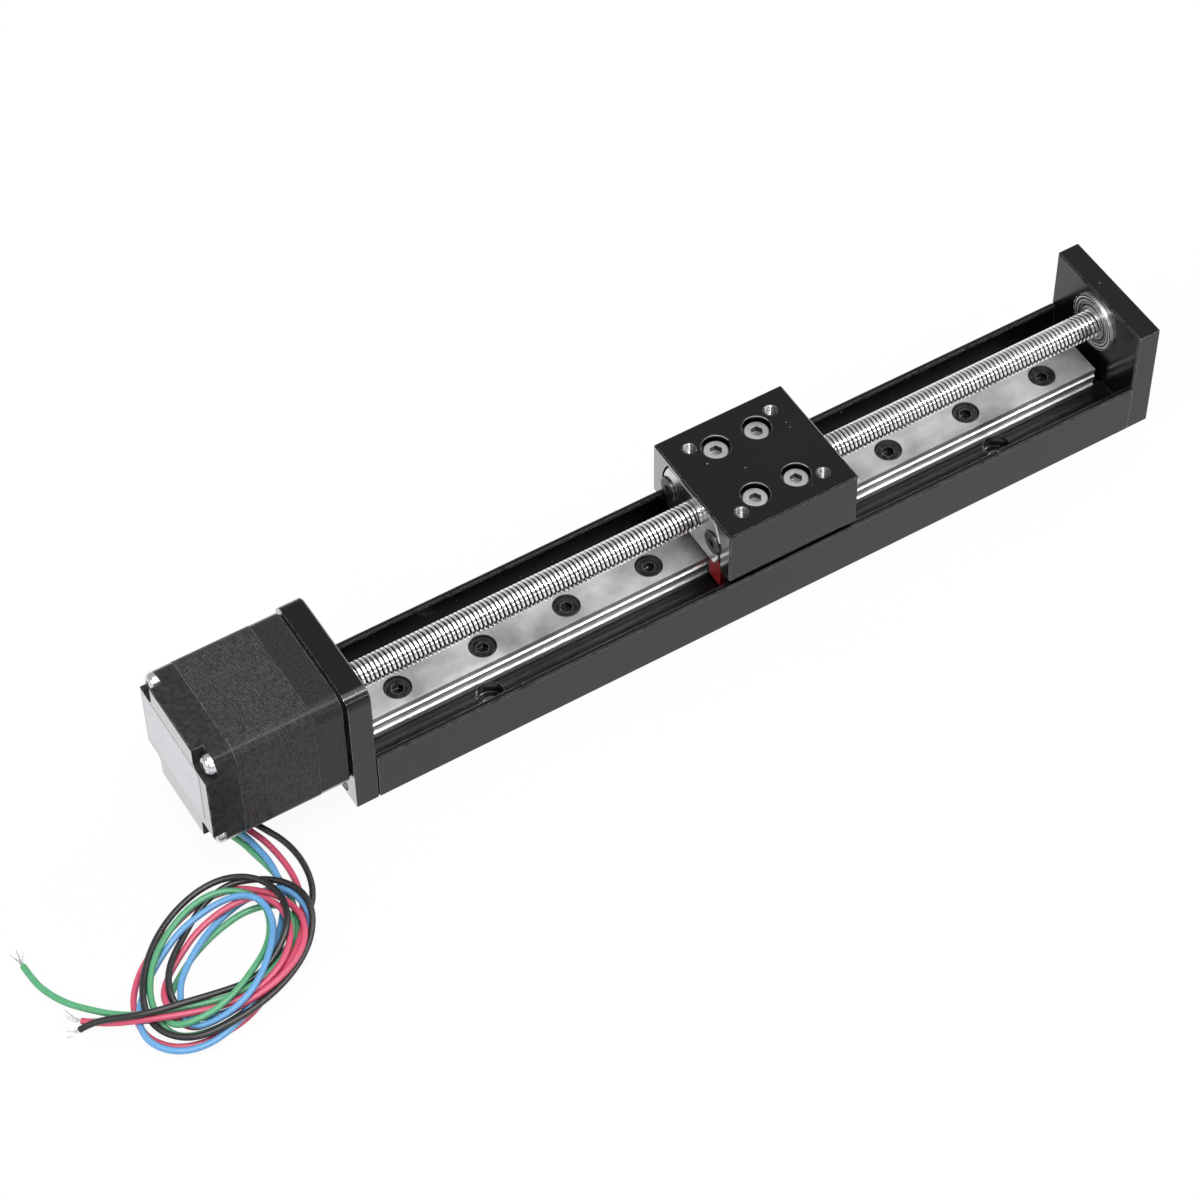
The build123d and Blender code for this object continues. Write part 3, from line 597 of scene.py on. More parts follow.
cut_and_cap(bm, SCREW_START, keep_above=True)
cut_and_cap(bm, THREAD_END, keep_above=False)
add_bar(bm, THREAD_END - 0.3, SCREW_END, CREST, chamfer=0.5)
add_bar(bm, SHAFT_START, SCREW_START + 0.5, SHAFT_RADIUS, chamfer=0.3)


# %% [markdown]
# ## Finish of the thread
# The crests are rolled bright, and the bottoms of the groove get painted shade: the finish reads the
# distance from the axis, dark at the root and bright at the crest.

# %% Finish: rolled thread
DARK_UP_TO, BRIGHT_FROM = 2.5, 2.93
rolled, tree, shader = start_material("rolled thread", Metallic=1.0)
ring_out = use_group(tree, turned_rings, Rings_per_metre=3000.0)
depth = add(tree, "MapRange", {"From Min": DARK_UP_TO * MM, "From Max": BRIGHT_FROM * MM})
join(tree, ring_out["Radius"], depth.inputs["Value"])
streaks = use_group(tree, grain, Stretch=(0.6, 1.0, 1.0), Scale=700.0, Detail=4.0)["Value"]
crest_colour = blend_colour(tree, streaks, 0.74, 0.96)
# Painted shade: the root of the groove is near black, the crest bright.
join(tree, blend_colour(tree, depth.outputs["Result"], 0.035, crest_colour), shader.inputs["Base Color"])
rough_from(tree, shader, streaks, 0.1, 0.26)
bump_from(tree, shader, streaks, 0.006, 0.4)
screw = to_piece(bm, "threaded_screw", rolled, "screw")
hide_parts("lead_screw")

# %% [markdown]
# ## Threads in the slider's holes
# The four holes that the user bolts to are tapped, and their first turns catch the light. The CAD
# holes are plain, so each gets a thin lining with a ring groove for each turn, spun round the
# hole's axis.

# %% Piece: tapped threads
TAP_TOP, TAP_TURNS, TAP_PITCH = 28.25, 10, 0.5
TAP_OUTER, TAP_ROOT, TAP_CREST = 1.48, 1.45, 1.18
SLIDER_MIDDLE, TAP_SPREAD = 6.0, 10.0
tap_places = [(SLIDER_MIDDLE + x * TAP_SPREAD, y * TAP_SPREAD) for x in (-1, 1) for y in (-1, 1)]
bm = bmesh.new()
for x, y in tap_places:
    outline = [(TAP_OUTER, TAP_TOP), (TAP_ROOT, TAP_TOP)]
    for i in range(TAP_TURNS):
        top = TAP_TOP - i * TAP_PITCH
        outline += [(TAP_CREST, top - 0.2), (TAP_CREST, top - 0.3), (TAP_ROOT, top - TAP_PITCH)]
    outline.append((TAP_OUTER, TAP_TOP - TAP_TURNS * TAP_PITCH))
    verts = [bm.verts.new((x + r, y, z)) for r, z in outline]
    edges = [bm.edges.new(pair) for pair in zip(verts, verts[1:] + verts[:1])]
    bmesh.ops.spin(bm, geom=verts + edges, cent=(x, y, 0.0), axis=(0.0, 0.0, 1.0), angle=math.tau, steps=28,
                   use_merge=True, use_duplicate=False)
cut_thread = make_metal("cut thread", 0.02, 0.26, 0.15, 0.35, blotch=1600.0)
taps = to_piece(bm, "tapped_threads", cut_thread, "carriage")

# %% [markdown]
# ## The lamination stack
# The motor's middle is a stack of stamped steel sheets half a millimetre thick, and the edge of
# each one shows as a fine line. The CAD part is a plain block there, so a thin sleeve with real
# grooves goes round it: a square with bevelled corners, extruded sheet by sheet.

# %% Piece: edges of the laminations
STACK_REAR, STACK_FRONT = -122.4, -105.4
MOTOR_SIDE, MOTOR_CORNER = 28.2, 3.5
SHEETS = 34
SHEET_PROUD, GROOVE_PROUD, GROOVE_WIDTH, GROOVE_SLOPE = 0.05, 0.004, 0.14, 0.03
INSIDE_SHARE = 0.98


def rounded_square(bm, side, corner, x, steps=10):
    """A square outline with round corners, in the plane across X."""
    bmesh.ops.create_grid(bm, x_segments=1, y_segments=1, size=side / 2)
    bmesh.ops.bevel(bm, geom=bm.verts[:], offset=corner, affect="VERTICES", segments=steps, profile=0.5,
                    material=-1)
    bmesh.ops.rotate(bm, cent=(0, 0, 0), matrix=Matrix.Rotation(math.pi / 2, 3, "Y"), verts=bm.verts)
    bmesh.ops.translate(bm, vec=(x, 0.0, SCREW_AXIS), verts=bm.verts)
    bmesh.ops.delete(bm, geom=bm.faces[:], context="FACES_ONLY")
    return bm.edges[:]


def extrude_ring(bm, ring, along, grow):
    """Extrudes an open ring of edges along X and scales it about the motor's axis."""
    made = bmesh.ops.extrude_edge_only(bm, edges=ring)["geom"]
    verts = [part for part in made if isinstance(part, bmesh.types.BMVert)]
    bmesh.ops.translate(bm, vec=(along, 0.0, 0.0), verts=verts)
    bmesh.ops.scale(bm, vec=(1.0, grow, grow), space=Matrix.Translation((0.0, 0.0, -SCREW_AXIS)),
                    verts=verts)
    return [part for part in made if isinstance(part, bmesh.types.BMEdge)]


bm = bmesh.new()
side_out = MOTOR_SIDE + 2 * SHEET_PROUD
ring = rounded_square(bm, side_out, MOTOR_CORNER + SHEET_PROUD, STACK_REAR)
first_ring = ring
shrink = (MOTOR_SIDE + 2 * GROOVE_PROUD) / side_out
sheet = (STACK_FRONT - STACK_REAR + GROOVE_WIDTH) / SHEETS
for i in range(SHEETS):
    ring = extrude_ring(bm, ring, sheet - GROOVE_WIDTH, 1.0)
    if i < SHEETS - 1:
        ring = extrude_ring(bm, ring, GROOVE_SLOPE, shrink)
        ring = extrude_ring(bm, ring, GROOVE_WIDTH - 2 * GROOVE_SLOPE, 1.0)
        ring = extrude_ring(bm, ring, GROOVE_SLOPE, 1.0 / shrink)
inner_front = extrude_ring(bm, ring, 0.0, INSIDE_SHARE)
inner_rear = extrude_ring(bm, first_ring, 0.0, INSIDE_SHARE)
bmesh.ops.bridge_loops(bm, edges=inner_front + inner_rear)

# %% Finish: lamination edges
lamination, tree, shader = start_material("lamination edges", Specular_IOR_Level=0.06)
along = use_group(tree, grain, Stretch=(6.0, 1.0, 1.0), Scale=420.0, Detail=5.0)["Value"]
dust = use_group(tree, specks, Cells_per_metre=3800.0, Dot_size=0.5, Share=0.3)["Mask"]
worn = use_group(tree, worn_edges, Width=0.00008, Patch_scale=1800.0, Bare_share=0.5)["Mask"]
colour = blend_colour(tree, along, 0.006, 0.09)
colour = blend_colour(tree, dust, colour, 0.12)
colour = blend_colour(tree, worn, colour, 0.25)
join(tree, colour, shader.inputs["Base Color"])
rough_from(tree, shader, along, 0.16, 0.32)
bump_from(tree, shader, along, 0.006, 0.4)
dress(lamination, "motor_stator")
sleeve = to_piece(bm, "lamination_edges", lamination, "frame", 20.0)

# %% [markdown]
# ## The blank label
# A silver sticker covers most of the motor's rear face. It is left bare here. A sheet with rounded
# corners, a little proud of the casting, is enough, with the faint mottle of foil paper.

# %% Piece: blank label
MOTOR_REAR = -129.4
LABEL_WIDE, LABEL_HIGH, LABEL_CORNER, LABEL_THICK = 23.6, 15.6, 1.0, 0.1
LABEL_RIGHT, LABEL_UP = 1.0, 0.7
bm = bmesh.new()
ring = rounded_square(bm, LABEL_HIGH, LABEL_CORNER, MOTOR_REAR + 0.02, steps=6)
for vert in bm.verts:
    vert.co.y += math.copysign((LABEL_WIDE - LABEL_HIGH) / 2, vert.co.y) + LABEL_RIGHT
    vert.co.z += LABEL_UP
bmesh.ops.contextual_create(bm, geom=ring)
made = bmesh.ops.extrude_face_region(bm, geom=bm.faces[:])["geom"]
bmesh.ops.translate(bm, vec=(-LABEL_THICK, 0.0, 0.0),
                    verts=[part for part in made if isinstance(part, bmesh.types.BMVert)])
foil, tree, shader = start_material("foil label", Specular_IOR_Level=0.4)
mottle = use_group(tree, grain, Scale=600.0, Detail=5.0)["Value"]
join(tree, blend_colour(tree, mottle, (0.6, 0.6, 0.63), (0.86, 0.86, 0.9)), shader.inputs["Base Color"])
rough_from(tree, shader, mottle, 0.3, 0.5)
bump_from(tree, shader, mottle, 0.004, 0.4)
label = to_piece(bm, "blank_label", foil, "frame")

# %% [markdown]
# ## The four leads
# The motor's leads are thin stranded wires in coloured PVC. They leave the grommet straight down,
# reach the bench, go round more than twice in loose turns, and end stripped at the left. A loose
# coil has no formula, so each lead is traced over the picture: a place in the picture, in a frame
# 1200 wide, and the height there. The camera's ray through that place gives the point.

# %% Routes of the leads
LEAD_DIAMETER = 1.35
FRAME_SIDE = 1200.0
ON_BENCH = 0.75
drops = {
    "green": [(-127.9, 0.0, 6.0), (-127.9, 0.0, 4.6), (-127.2, -1.6, 3.4), (-125.4, -5.4, 3.2)],
    "blue": [(-126.4, 0.0, 6.0), (-126.4, 0.0, 4.6), (-125.8, -1.6, 3.4), (-124.0, -5.2, 3.2)],
    "red": [(-124.9, 0.0, 6.0), (-124.9, 0.0, 4.6), (-124.3, -1.6, 3.4), (-122.3, -5.2, 3.2)],
    "black": [(-123.4, 0.0, 6.0), (-123.4, 0.0, 4.6), (-122.7, -1.6, 3.4), (-120.4, -5.2, 3.2)],
}
traced = {
    "green": [
        (241, 840, 2.6), (252, 853, 1.6), (263, 864, 1.0), (274, 876, 0.8), (284, 890, 0.8),
        (292, 906, 0.8), (297, 924, 0.8), (298, 942, 0.8), (292, 960, 0.8), (280, 979, 0.8),
        (263, 998, 0.8), (243, 1014, 0.8), (222, 1027, 0.8), (202, 1035, 0.8), (185, 1038, 0.8),
        (171, 1034, 1.2), (161, 1024, 1.6), (154, 1010, 2.0), (150, 994, 2.0), (151, 976, 2.0),
        (156, 957, 2.2), (165, 939, 2.2), (177, 922, 2.2), (191, 908, 2.2), (207, 898, 2.2),
        (224, 893, 2.0), (241, 892, 1.8), (257, 897, 1.8), (268, 908, 2.0), (272, 923, 2.2),
        (271, 940, 2.6), (265, 956, 3.0), (256, 971, 3.6), (245, 985, 4.4), (232, 998, 4.8),
        (217, 1010, 4.6), (202, 1020, 3.6), (188, 1027, 2.4), (177, 1026, 1.4), (172, 1014, 0.9),
        (174, 999, 0.8), (180, 983, 0.8), (188, 967, 0.8), (198, 952, 0.8), (211, 937, 0.8),
        (226, 924, 0.9), (242, 913, 1.0), (258, 906, 1.2), (273, 904, 1.6), (286, 908, 2.2),
        (295, 919, 2.8), (297, 934, 3.0), (292, 950, 3.0), (282, 966, 2.8), (268, 981, 2.4),
        (250, 993, 2.0), (229, 1001, 2.0), (206, 1007, 2.2), (182, 1011, 2.6), (158, 1015, 3.2),
        (134, 1017, 3.0), (112, 1017, 1.8), (90, 1013, 0.9), (68, 1006, 0.8), (49, 995, 0.8),
        (34, 982, 0.8), (23, 966, 0.8)],
    "blue": [
        (246, 836, 2.6), (258, 850, 1.6), (270, 864, 1.0), (279, 880, 0.8), (284, 897, 0.8),
        (283, 914, 0.8), (280, 931, 0.8), (276, 948, 0.8), (271, 965, 0.8), (265, 982, 0.8),
        (257, 999, 1.4), (245, 1015, 1.8), (231, 1030, 1.6), (215, 1042, 1.2), (198, 1050, 0.8),
        (180, 1053, 0.8), (163, 1051, 0.8), (149, 1043, 1.4), (140, 1030, 2.2), (138, 1014, 2.2),
        (142, 997, 1.4), (149, 980, 1.0), (158, 963, 1.2), (169, 947, 1.6), (181, 932, 2.4),
        (194, 919, 3.2), (209, 907, 3.8), (225, 899, 4.0), (242, 895, 4.2), (258, 897, 4.4),
        (269, 906, 4.6), (275, 920, 4.6), (275, 937, 4.8), (271, 954, 5.0), (264, 971, 5.4),
        (254, 987, 5.6), (242, 1001, 5.0), (228, 1013, 4.0), (213, 1023, 2.8), (198, 1030, 1.8),
        (186, 1029, 1.8), (178, 1019, 2.4), (176, 1004, 2.2), (177, 988, 1.4), (183, 972, 1.8),
        (191, 957, 2.0), (201, 942, 2.0), (212, 928, 1.6), (225, 915, 1.2), (239, 903, 1.0),
        (254, 894, 1.2), (270, 889, 1.6), (285, 891, 2.2), (298, 900, 2.4), (307, 914, 2.4),
        (309, 930, 1.8), (303, 948, 1.0), (292, 966, 0.9), (276, 984, 0.9), (257, 1000, 0.9),
        (236, 1012, 0.9), (212, 1019, 0.9), (188, 1021, 0.8), (166, 1022, 0.8), (144, 1023, 0.8),
        (122, 1023, 0.8), (104, 1022, 0.8)],
    "red": [
        (254, 831, 2.8), (267, 842, 1.8), (280, 857, 1.0), (291, 872, 0.8), (299, 889, 0.8),
        (303, 907, 0.8), (303, 926, 0.8), (298, 945, 0.8), (289, 963, 0.8), (276, 981, 0.9),
        (261, 998, 1.2), (245, 1013, 1.4), (228, 1026, 1.4), (210, 1036, 1.4), (192, 1043, 1.4),
        (174, 1045, 1.4), (157, 1041, 1.4), (144, 1032, 1.6), (136, 1018, 1.8), (133, 1002, 1.4),
        (136, 986, 1.0), (142, 970, 0.9), (151, 955, 0.9), (162, 940, 0.9), (175, 925, 0.9),
        (189, 911, 0.9), (204, 900, 0.9), (221, 893, 0.9), (239, 890, 1.0), (257, 891, 2.6),
        (273, 895, 2.8), (288, 902, 3.4), (299, 912, 3.8), (305, 925, 3.8), (305, 941, 3.6),
        (299, 957, 3.4), (289, 971, 3.2), (276, 985, 3.0), (261, 997, 2.4), (245, 1007, 1.8),
        (228, 1016, 1.4), (211, 1023, 1.2), (195, 1026, 1.0), (180, 1022, 1.0), (169, 1010, 1.0),
        (166, 995, 1.0), (169, 979, 1.0), (176, 963, 1.2), (185, 948, 1.4), (196, 934, 1.8),
        (210, 922, 2.2), (225, 911, 2.4), (241, 902, 2.6), (257, 898, 2.8), (272, 901, 3.2),
        (284, 909, 3.6), (290, 922, 4.0), (291, 937, 4.4), (286, 953, 4.8), (277, 967, 4.8),
        (265, 981, 4.4), (251, 993, 3.6), (234, 1003, 2.8), (214, 1011, 2.4), (191, 1017, 2.4),
        (167, 1021, 2.3), (143, 1023, 2.3), (119, 1024, 2.2), (97, 1023, 1.8), (81, 1021, 1.4)],
    "black": [
        (264, 827, 2.8), (282, 839, 1.8), (297, 855, 1.0), (307, 872, 0.8), (312, 889, 0.8),
        (311, 906, 0.8), (302, 923, 0.8), (293, 941, 0.8), (281, 957, 0.8), (268, 971, 0.8),
        (254, 984, 0.8), (239, 995, 0.8), (224, 1005, 0.8), (209, 1013, 0.8), (194, 1017, 0.8),
        (179, 1014, 0.9), (169, 1000, 2.0), (166, 984, 2.4), (168, 968, 2.4), (174, 952, 2.4),
        (182, 936, 2.2), (191, 921, 1.6), (202, 907, 1.0), (215, 896, 1.2), (230, 886, 1.6),
        (247, 881, 2.2), (265, 880, 2.8), (282, 884, 3.2), (296, 893, 3.2), (305, 907, 2.8),
        (308, 923, 2.0), (305, 941, 1.6), (297, 958, 1.4), (286, 974, 1.4), (272, 990, 1.4),
        (257, 1004, 1.6), (240, 1017, 1.8), (222, 1028, 1.6), (204, 1036, 1.6), (186, 1039, 1.8),
        (168, 1037, 1.6), (153, 1029, 1.4), (144, 1015, 2.2), (140, 998, 2.8), (141, 981, 2.8),
        (145, 963, 2.8), (151, 946, 2.8), (160, 929, 2.8), (172, 913, 2.8), (186, 899, 3.0),
        (203, 887, 3.2), (222, 879, 3.6), (242, 876, 4.2), (260, 878, 4.8), (275, 886, 5.4),
        (285, 899, 5.8), (289, 915, 5.6), (289, 931, 4.8), (284, 947, 3.6), (275, 962, 2.8),
        (263, 976, 2.4), (248, 986, 2.4), (229, 993, 3.0), (207, 999, 3.8), (183, 1005, 4.6),
        (159, 1011, 5.0), (135, 1016, 4.6), (111, 1020, 3.0), (92, 1025, 1.4), (80, 1028, 0.9)],
}


def seen_at(across, down, height):
    """The point at this height, in millimetres, that the camera sees at this place."""
    reach = camera_data.lens / camera_data.sensor_width * FRAME_SIDE
    right, up = across - FRAME_SIDE / 2, FRAME_SIDE / 2 - down
    ray = (camera_right * right + camera_up * up) / reach - camera_back
    place = camera_place / MM
    return place + ray * ((height - place.z) / ray.z)


routes = {}
for colour, drop in drops.items():
    routes[colour] = [Vector(point) for point in drop] + [seen_at(*station) for station in traced[colour]]
    print("route:", colour, len(routes[colour]), "points")

# %% [markdown]
# ## Laying the leads on each other
# Loose wires don't pass through each other: where two meet, one rides over the other or slides
# aside. The traced heights only say which lead is on top, and a rope simulation would lose the
# loops that the photograph shows. So the leads start higher than they were traced, and sink while
# they push each other apart, mostly upwards, and pull back to their planned places. The pushes act
# on the smooth line, and each control point takes its share. A wire bends gently, so a stiffness
# evens out how far neighbouring points have moved.


# %% Helper: how a quadratic spline follows its points
def smooth_shares(count, per_point):
    """Rows of shares: each sample of the smooth line from the control points round it."""
    last = count - 1
    rows = []
    for step in range(last * per_point + 1):
        nearest = round(step / per_point)
        t = step / per_point - nearest
        row = np.zeros(count)
        row[nearest] += 0.75 - t * t
        row[max(nearest - 1, 0)] += 0.5 * (0.5 - t) ** 2
        row[min(nearest + 1, last)] += 0.5 * (0.5 + t) ** 2
        rows.append(row)
    return np.array(rows)


# %% Settle the leads
CLEAR = LEAD_DIAMETER + 0.06
SAMPLES = 4
FIXED_POINTS = 3
START_STRETCH = 1.4
STIFFNESS, LAST_STIFFNESS = (0.15, 0.15, 0.06), (0.04, 0.04, 0.01)
PUSH_SHARES = (0.7, 0.7, 1.3)
CROWD_DAMPING, POINT_GAIN = 0.6, 1.6
SINK, PULL_BACK = 0.03, 0.03
ROUNDS, LAST_ROUNDS = 260, 300

points, fixed, lines, owner, place = [], [], [], [], []
for lead_index, (colour, route) in enumerate(routes.items()):
    for i, point in enumerate(route):
        stretch = 1.0 if i < len(drops[colour]) else START_STRETCH
        points.append((point.x, point.y, point.z * stretch))
        fixed.append(i < FIXED_POINTS)
    shares = smooth_shares(len(route), SAMPLES)
    lines.append(shares)
    owner += [lead_index] * len(shares)
    place += list(range(len(shares)))
points, fixed, owner, place = np.array(points), np.array(fixed), np.array(owner), np.array(place)
plan = points.copy()
shares = np.zeros((len(owner), len(points)))
row = column = 0
for block in lines:
    shares[row:row + block.shape[0], column:column + block.shape[1]] = block
    row, column = row + block.shape[0], column + block.shape[1]
apart = (owner[:, None] != owner[None, :]) | (np.abs(place[:, None] - place[None, :]) > 3 * SAMPLES)
first, second = np.nonzero(np.triu(apart))
total = shares.sum(axis=0)[:, None]
lead_stops = np.array([len(route) for route in routes.values()]).cumsum()
ends = np.zeros(len(points), bool)
ends[lead_stops - 1] = True
ends[np.r_[0, lead_stops[:-1]]] = True
for turn in range(ROUNDS + LAST_ROUNDS):
    sinking = turn < ROUNDS
    line = shares @ points
    gap = line[first] - line[second]
    distance = np.sqrt((gap ** 2).sum(axis=1))
    close = distance < CLEAR
    pair = gap[close] / distance[close, None] * PUSH_SHARES
    push = pair * (CLEAR - distance[close, None]) * 0.5
    moved = np.zeros_like(line)
    hits = np.zeros(len(line))
    np.add.at(moved, first[close], push)
    np.add.at(moved, second[close], -push)
    np.add.at(hits, first[close], 1.0)
    np.add.at(hits, second[close], 1.0)
    moved /= np.maximum(hits, 1.0)[:, None] * CROWD_DAMPING
    moved[:, 2] += np.maximum(ON_BENCH - (line[:, 2] + moved[:, 2]), 0.0)
    step = shares.T @ moved / total * POINT_GAIN
    if sinking:
        step[:, 2] -= SINK
        step[:, :2] += (plan - points)[:, :2] * PULL_BACK
    aside = points - plan * (1.0, 1.0, 0.0)
    bend = np.zeros_like(points)
    bend[1:-1] = aside[2:] + aside[:-2] - 2 * aside[1:-1]
    bend[ends] = 0.0
    step += bend * (STIFFNESS if sinking else LAST_STIFFNESS)
    points[~fixed] += step[~fixed]
line = shares @ points
gap = np.sqrt(((line[first] - line[second]) ** 2).sum(axis=1))
print("leads: nearest", round(float(gap.min()), 2), "mm, highest", round(float(line[:, 2].max()), 2),
      "mm, moved", round(float(np.abs((points - plan)[:, :2]).max()), 2), "mm")
row = 0
for colour, route in routes.items():
    routes[colour] = [Vector(point) for point in points[row:row + len(route)].tolist()]
    row += len(route)

# %% [markdown]
# ## PVC insulation
# The insulation is a glossy, slightly waxy plastic with a little light inside it, scuffed in
# places. The colours are written a little lighter than they look, because much of a thin wire lies
# in its own shade.


# %% Finish: lead insulation
def make_insulation(name, dark, light):
    material, tree, shader = start_material(name, Specular_IOR_Level=0.45, Subsurface_Weight=0.08,
                                            Subsurface_Scale=0.0006)
    scuffs = use_group(tree, grain, Scale=700.0, Detail=4.0)["Value"]
    join(tree, blend_colour(tree, scuffs, dark, light), shader.inputs["Base Color"])
    rough_from(tree, shader, scuffs, 0.3, 0.46)
    bump_from(tree, shader, scuffs, 0.012, 0.5)
    return material


insulation = {
    "green": make_insulation("green insulation", (0.09, 0.42, 0.19), (0.15, 0.52, 0.27)),
    "blue": make_insulation("blue insulation", (0.12, 0.4, 0.76), (0.2, 0.5, 0.88)),
    "red": make_insulation("red insulation", (0.72, 0.08, 0.17), (0.86, 0.14, 0.24)),
    "black": make_insulation("black insulation", 0.018, 0.03),
}
tinned = make_metal("tinned copper", (0.55, 0.55, 0.56), 0.8, 0.2, 0.35)
print("insulation:", ", ".join(material.name for material in insulation.values()))


# %% [markdown]
# ## Curves for the leads
# A smooth spline with the route's points as its control points bends like wire does, while a
# polyline with rounded corners looks like bent tube. The bare strands at the end are seven hair
# thin curves that leave the insulation together and splay.


# %% Pieces: leads and bare strands
def add_spline(data, line):
    spline = data.splines.new("NURBS")
    spline.points.add(len(line) - 1)
    for target, point in zip(spline.points, line):
        target.co = (*(Vector(point) * MM), 1.0)
    spline.order_u = 3
    spline.use_endpoint_u = True
    spline.use_smooth = True
    return spline


def make_curve(name, lines, radius, material, sides=3):
    """A round curve object; each line is a list of points in millimetres."""
    data = bpy.data.curves.new(name, "CURVE")
    data.dimensions = "3D"
    data.bevel_depth = radius * MM
    data.bevel_resolution = sides
    data.resolution_u = 6
    data.use_fill_caps = True
    for line in lines:
        add_spline(data, line)
    data.materials.append(material)
    piece = bpy.data.objects.new(name, data)
    bpy.context.scene.collection.objects.link(piece)
    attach(piece, "frame")
    return piece


def length_of(route):
    """Length in metres of the smooth line with these control points."""
    data = bpy.data.curves.new("measure", "CURVE")
    data.dimensions = "3D"
    return add_spline(data, route).calc_length()


random.seed(4)
STRANDS, STRAND_RADIUS, STRAND_RING = 7, 0.07, 0.3
SHORTEST_STRAND, LONGEST_STRAND = 2.4, 4.6
for colour, route in routes.items():
    tip = route[-1]
    ahead = (route[-1] - route[-2]).normalized()
    beside = Vector((-ahead.y, ahead.x, 0.0)).normalized()
    lines = []
    for i in range(STRANDS):
        angle = math.tau * i / (STRANDS - 1)
        ring = 0.0 if i == STRANDS - 1 else STRAND_RING
        start = tip + beside * ring * math.cos(angle) + Vector((0.0, 0.0, ring * math.sin(angle)))
        long = random.uniform(SHORTEST_STRAND, LONGEST_STRAND)
        splay = random.uniform(-1.0, 1.0)
        curl = random.uniform(-0.8, 0.8)
        middle = start + ahead * long * 0.5 + beside * splay * 0.35
        end = start + ahead * long * 0.95 + beside * (splay + curl)
        end.z = max(0.15, ON_BENCH * random.uniform(0.2, 1.2))
        lines.append([start - ahead * 0.8, start + ahead * 0.4, middle, end])
    strands = make_curve(f"strands_{colour}", lines, STRAND_RADIUS, tinned, sides=1)
    lead = make_curve(f"lead_wire_{colour}", [route], LEAD_DIAMETER / 2, insulation[colour])
    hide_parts(f"lead_{colour}", f"tail_{colour}", "lead_coil")
    length = round(length_of(route), 3)
    print("lead:", colour, length, "m")

# %% [markdown]
# ## Floor, sky and lamps
# The photograph is a cut-out look: a white ground, soft light from all round, and no hard shadow.
# The white must not come from more light on the object. So the floor is white only for rays from
# the camera and from mirrors, the sky only for rays from the camera, and their light on the object
# stays plain. The floor keeps a little of its matt self, and with it the object's soft shadow.

# %% Stage: floor
WHITE_SHARE = 0.94
bm = bmesh.new()
bmesh.ops.create_grid(bm, x_segments=1, y_segments=1, size=6.0)
floor_mesh = bpy.data.meshes.new("floor")
bm.to_mesh(floor_mesh)
bm.free()
floor = bpy.data.objects.new("floor", floor_mesh)
bpy.context.scene.collection.objects.link(floor)
paper = bpy.data.materials.new("white paper")
paper.use_nodes = True
tree = paper.node_tree
tree.nodes.remove(tree.nodes["Principled BSDF"])
output = tree.nodes["Material Output"]
matt = add(tree, "BsdfDiffuse")
glow = add(tree, "Emission", {"Color": (1.0, 1.0, 1.0, 1.0), "Strength": 1.0})
rays = add(tree, "LightPath")
seen = maths(tree, "MAXIMUM", rays.outputs["Is Camera Ray"], rays.outputs["Is Glossy Ray"])
seen = maths(tree, "MAXIMUM", seen, rays.outputs["Is Transmission Ray"])
join(tree, blend_colour(tree, seen, 0.8, (1.0, 1.0, 1.0)), matt.inputs["Color"])
mixer = add(tree, "MixShader")
join(tree, maths(tree, "MULTIPLY", seen, WHITE_SHARE), mixer.inputs["Fac"])
join(tree, matt.outputs["BSDF"], mixer.inputs[1])
join(tree, glow.outputs["Emission"], mixer.inputs[2])
join(tree, mixer.outputs["Shader"], output.inputs["Surface"])
floor_mesh.materials.append(paper)

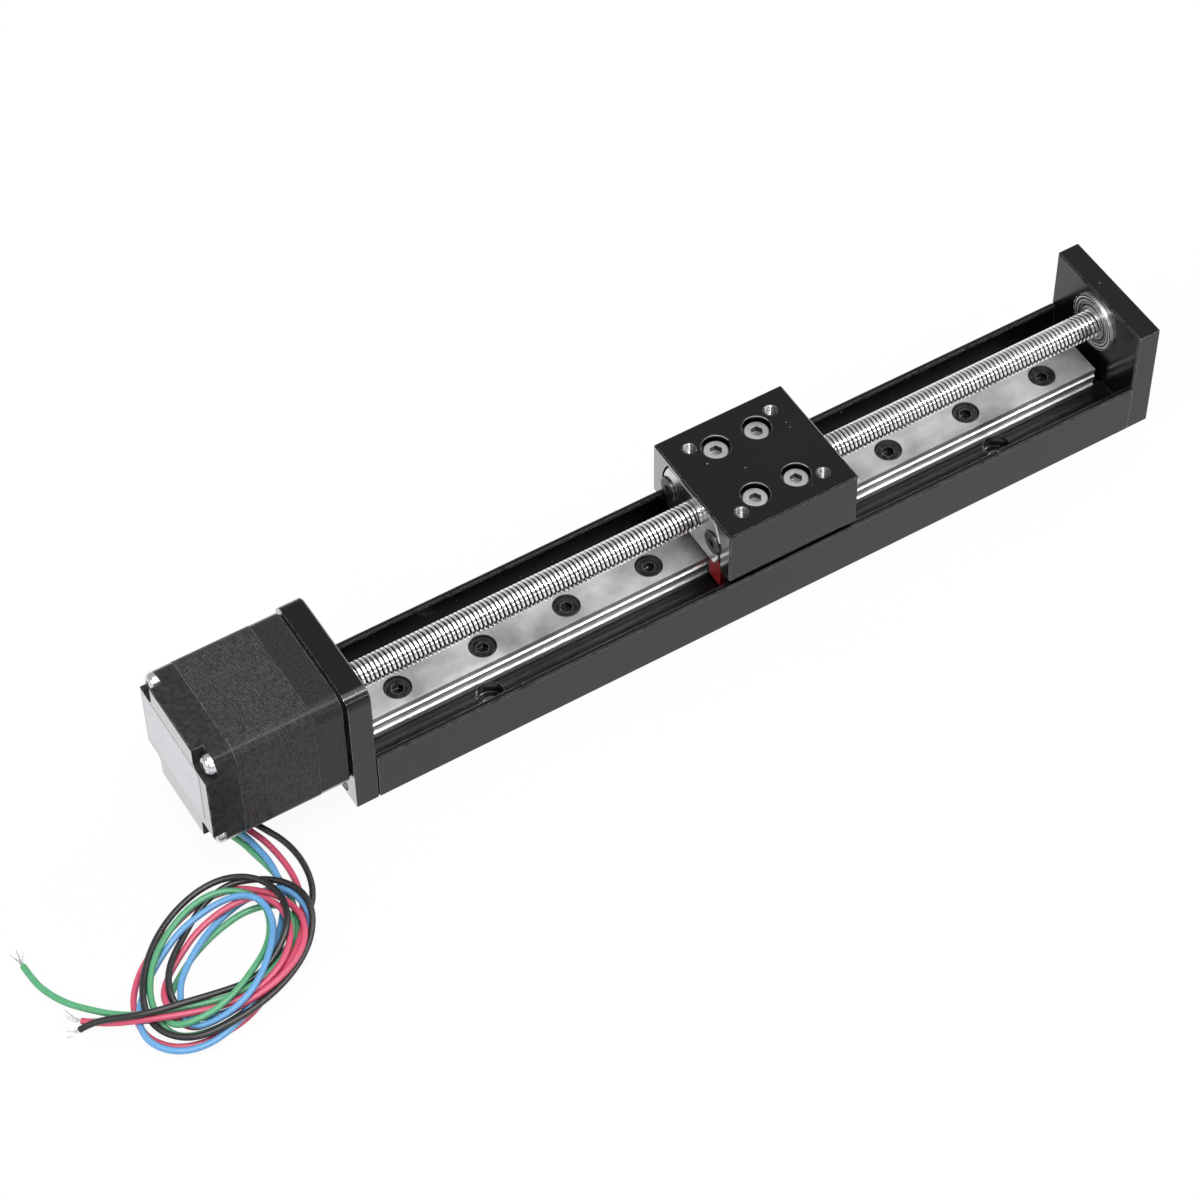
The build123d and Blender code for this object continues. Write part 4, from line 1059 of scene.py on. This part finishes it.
# %% Sky
sky = bpy.data.worlds.new("sky")
bpy.context.scene.world = sky
sky.use_nodes = True
tree = sky.node_tree
for old in list(tree.nodes):
    tree.nodes.remove(old)
output = add(tree, "OutputWorld")
white = add(tree, "Background", {"Color": (1.0, 1.0, 1.0, 1.0), "Strength": 1.0})
soft = add(tree, "Background", {"Color": (1.0, 1.0, 1.0, 1.0), "Strength": 0.5})
rays = add(tree, "LightPath")
mixer = add(tree, "MixShader")
join(tree, rays.outputs["Is Camera Ray"], mixer.inputs["Fac"])
join(tree, soft.outputs["Background"], mixer.inputs[1])
join(tree, white.outputs["Background"], mixer.inputs[2])
join(tree, mixer.outputs["Shader"], output.inputs["Surface"])


# %% [markdown]
# ## Lamps
# Three soft square lamps stand round the object. Gloss on black needs something long to mirror, as
# in a studio, so two strips hang along the stage. They show in mirrors only, and draw the
# highlights along the rail, the screw and the rounded edges.


# %% Lamps
STRIP_LENGTH, STRIP_DISTANCE, STRIP_MIDDLE = 2.4, 1.5, 0.5


def add_lamp(name, place, size, watts):
    """A square soft lamp that looks at the middle of the stage."""
    data = bpy.data.lights.new(name, "AREA")
    data.shape = "SQUARE"
    data.size = size
    data.energy = watts
    lamp = bpy.data.objects.new(name, data)
    lamp.location = place
    lamp.rotation_euler = Vector(place).to_track_quat("Z", "Y").to_euler()
    bpy.context.scene.collection.objects.link(lamp)
    print("lamp:", name, watts, "W")


def add_strip(name, lean_degrees, width, watts):
    """A long lamp along X, leaning from straight above towards the front."""
    lean = math.radians(lean_degrees)
    data = bpy.data.lights.new(name, "AREA")
    data.shape = "RECTANGLE"
    data.size, data.size_y = STRIP_LENGTH, width
    data.energy = watts
    lamp = bpy.data.objects.new(name, data)
    lamp.location = (STRIP_MIDDLE, -STRIP_DISTANCE * math.sin(lean), STRIP_DISTANCE * math.cos(lean))
    lamp.rotation_euler = (lean, 0.0, 0.0)
    lamp.visible_diffuse = False
    bpy.context.scene.collection.objects.link(lamp)
    print("strip:", name, watts, "W")


add_lamp("lamp_left", (-1.4, -0.2, 0.9), 0.9, 6.0)
add_lamp("lamp_right", (1.4, 0.3, 1.1), 0.9, 5.0)
add_lamp("lamp_top", (0.0, -0.1, 1.6), 0.9, 10.0)
add_strip("strip_high", 26.0, 0.22, 40.0)
add_strip("strip_low", 64.0, 0.06, 8.0)
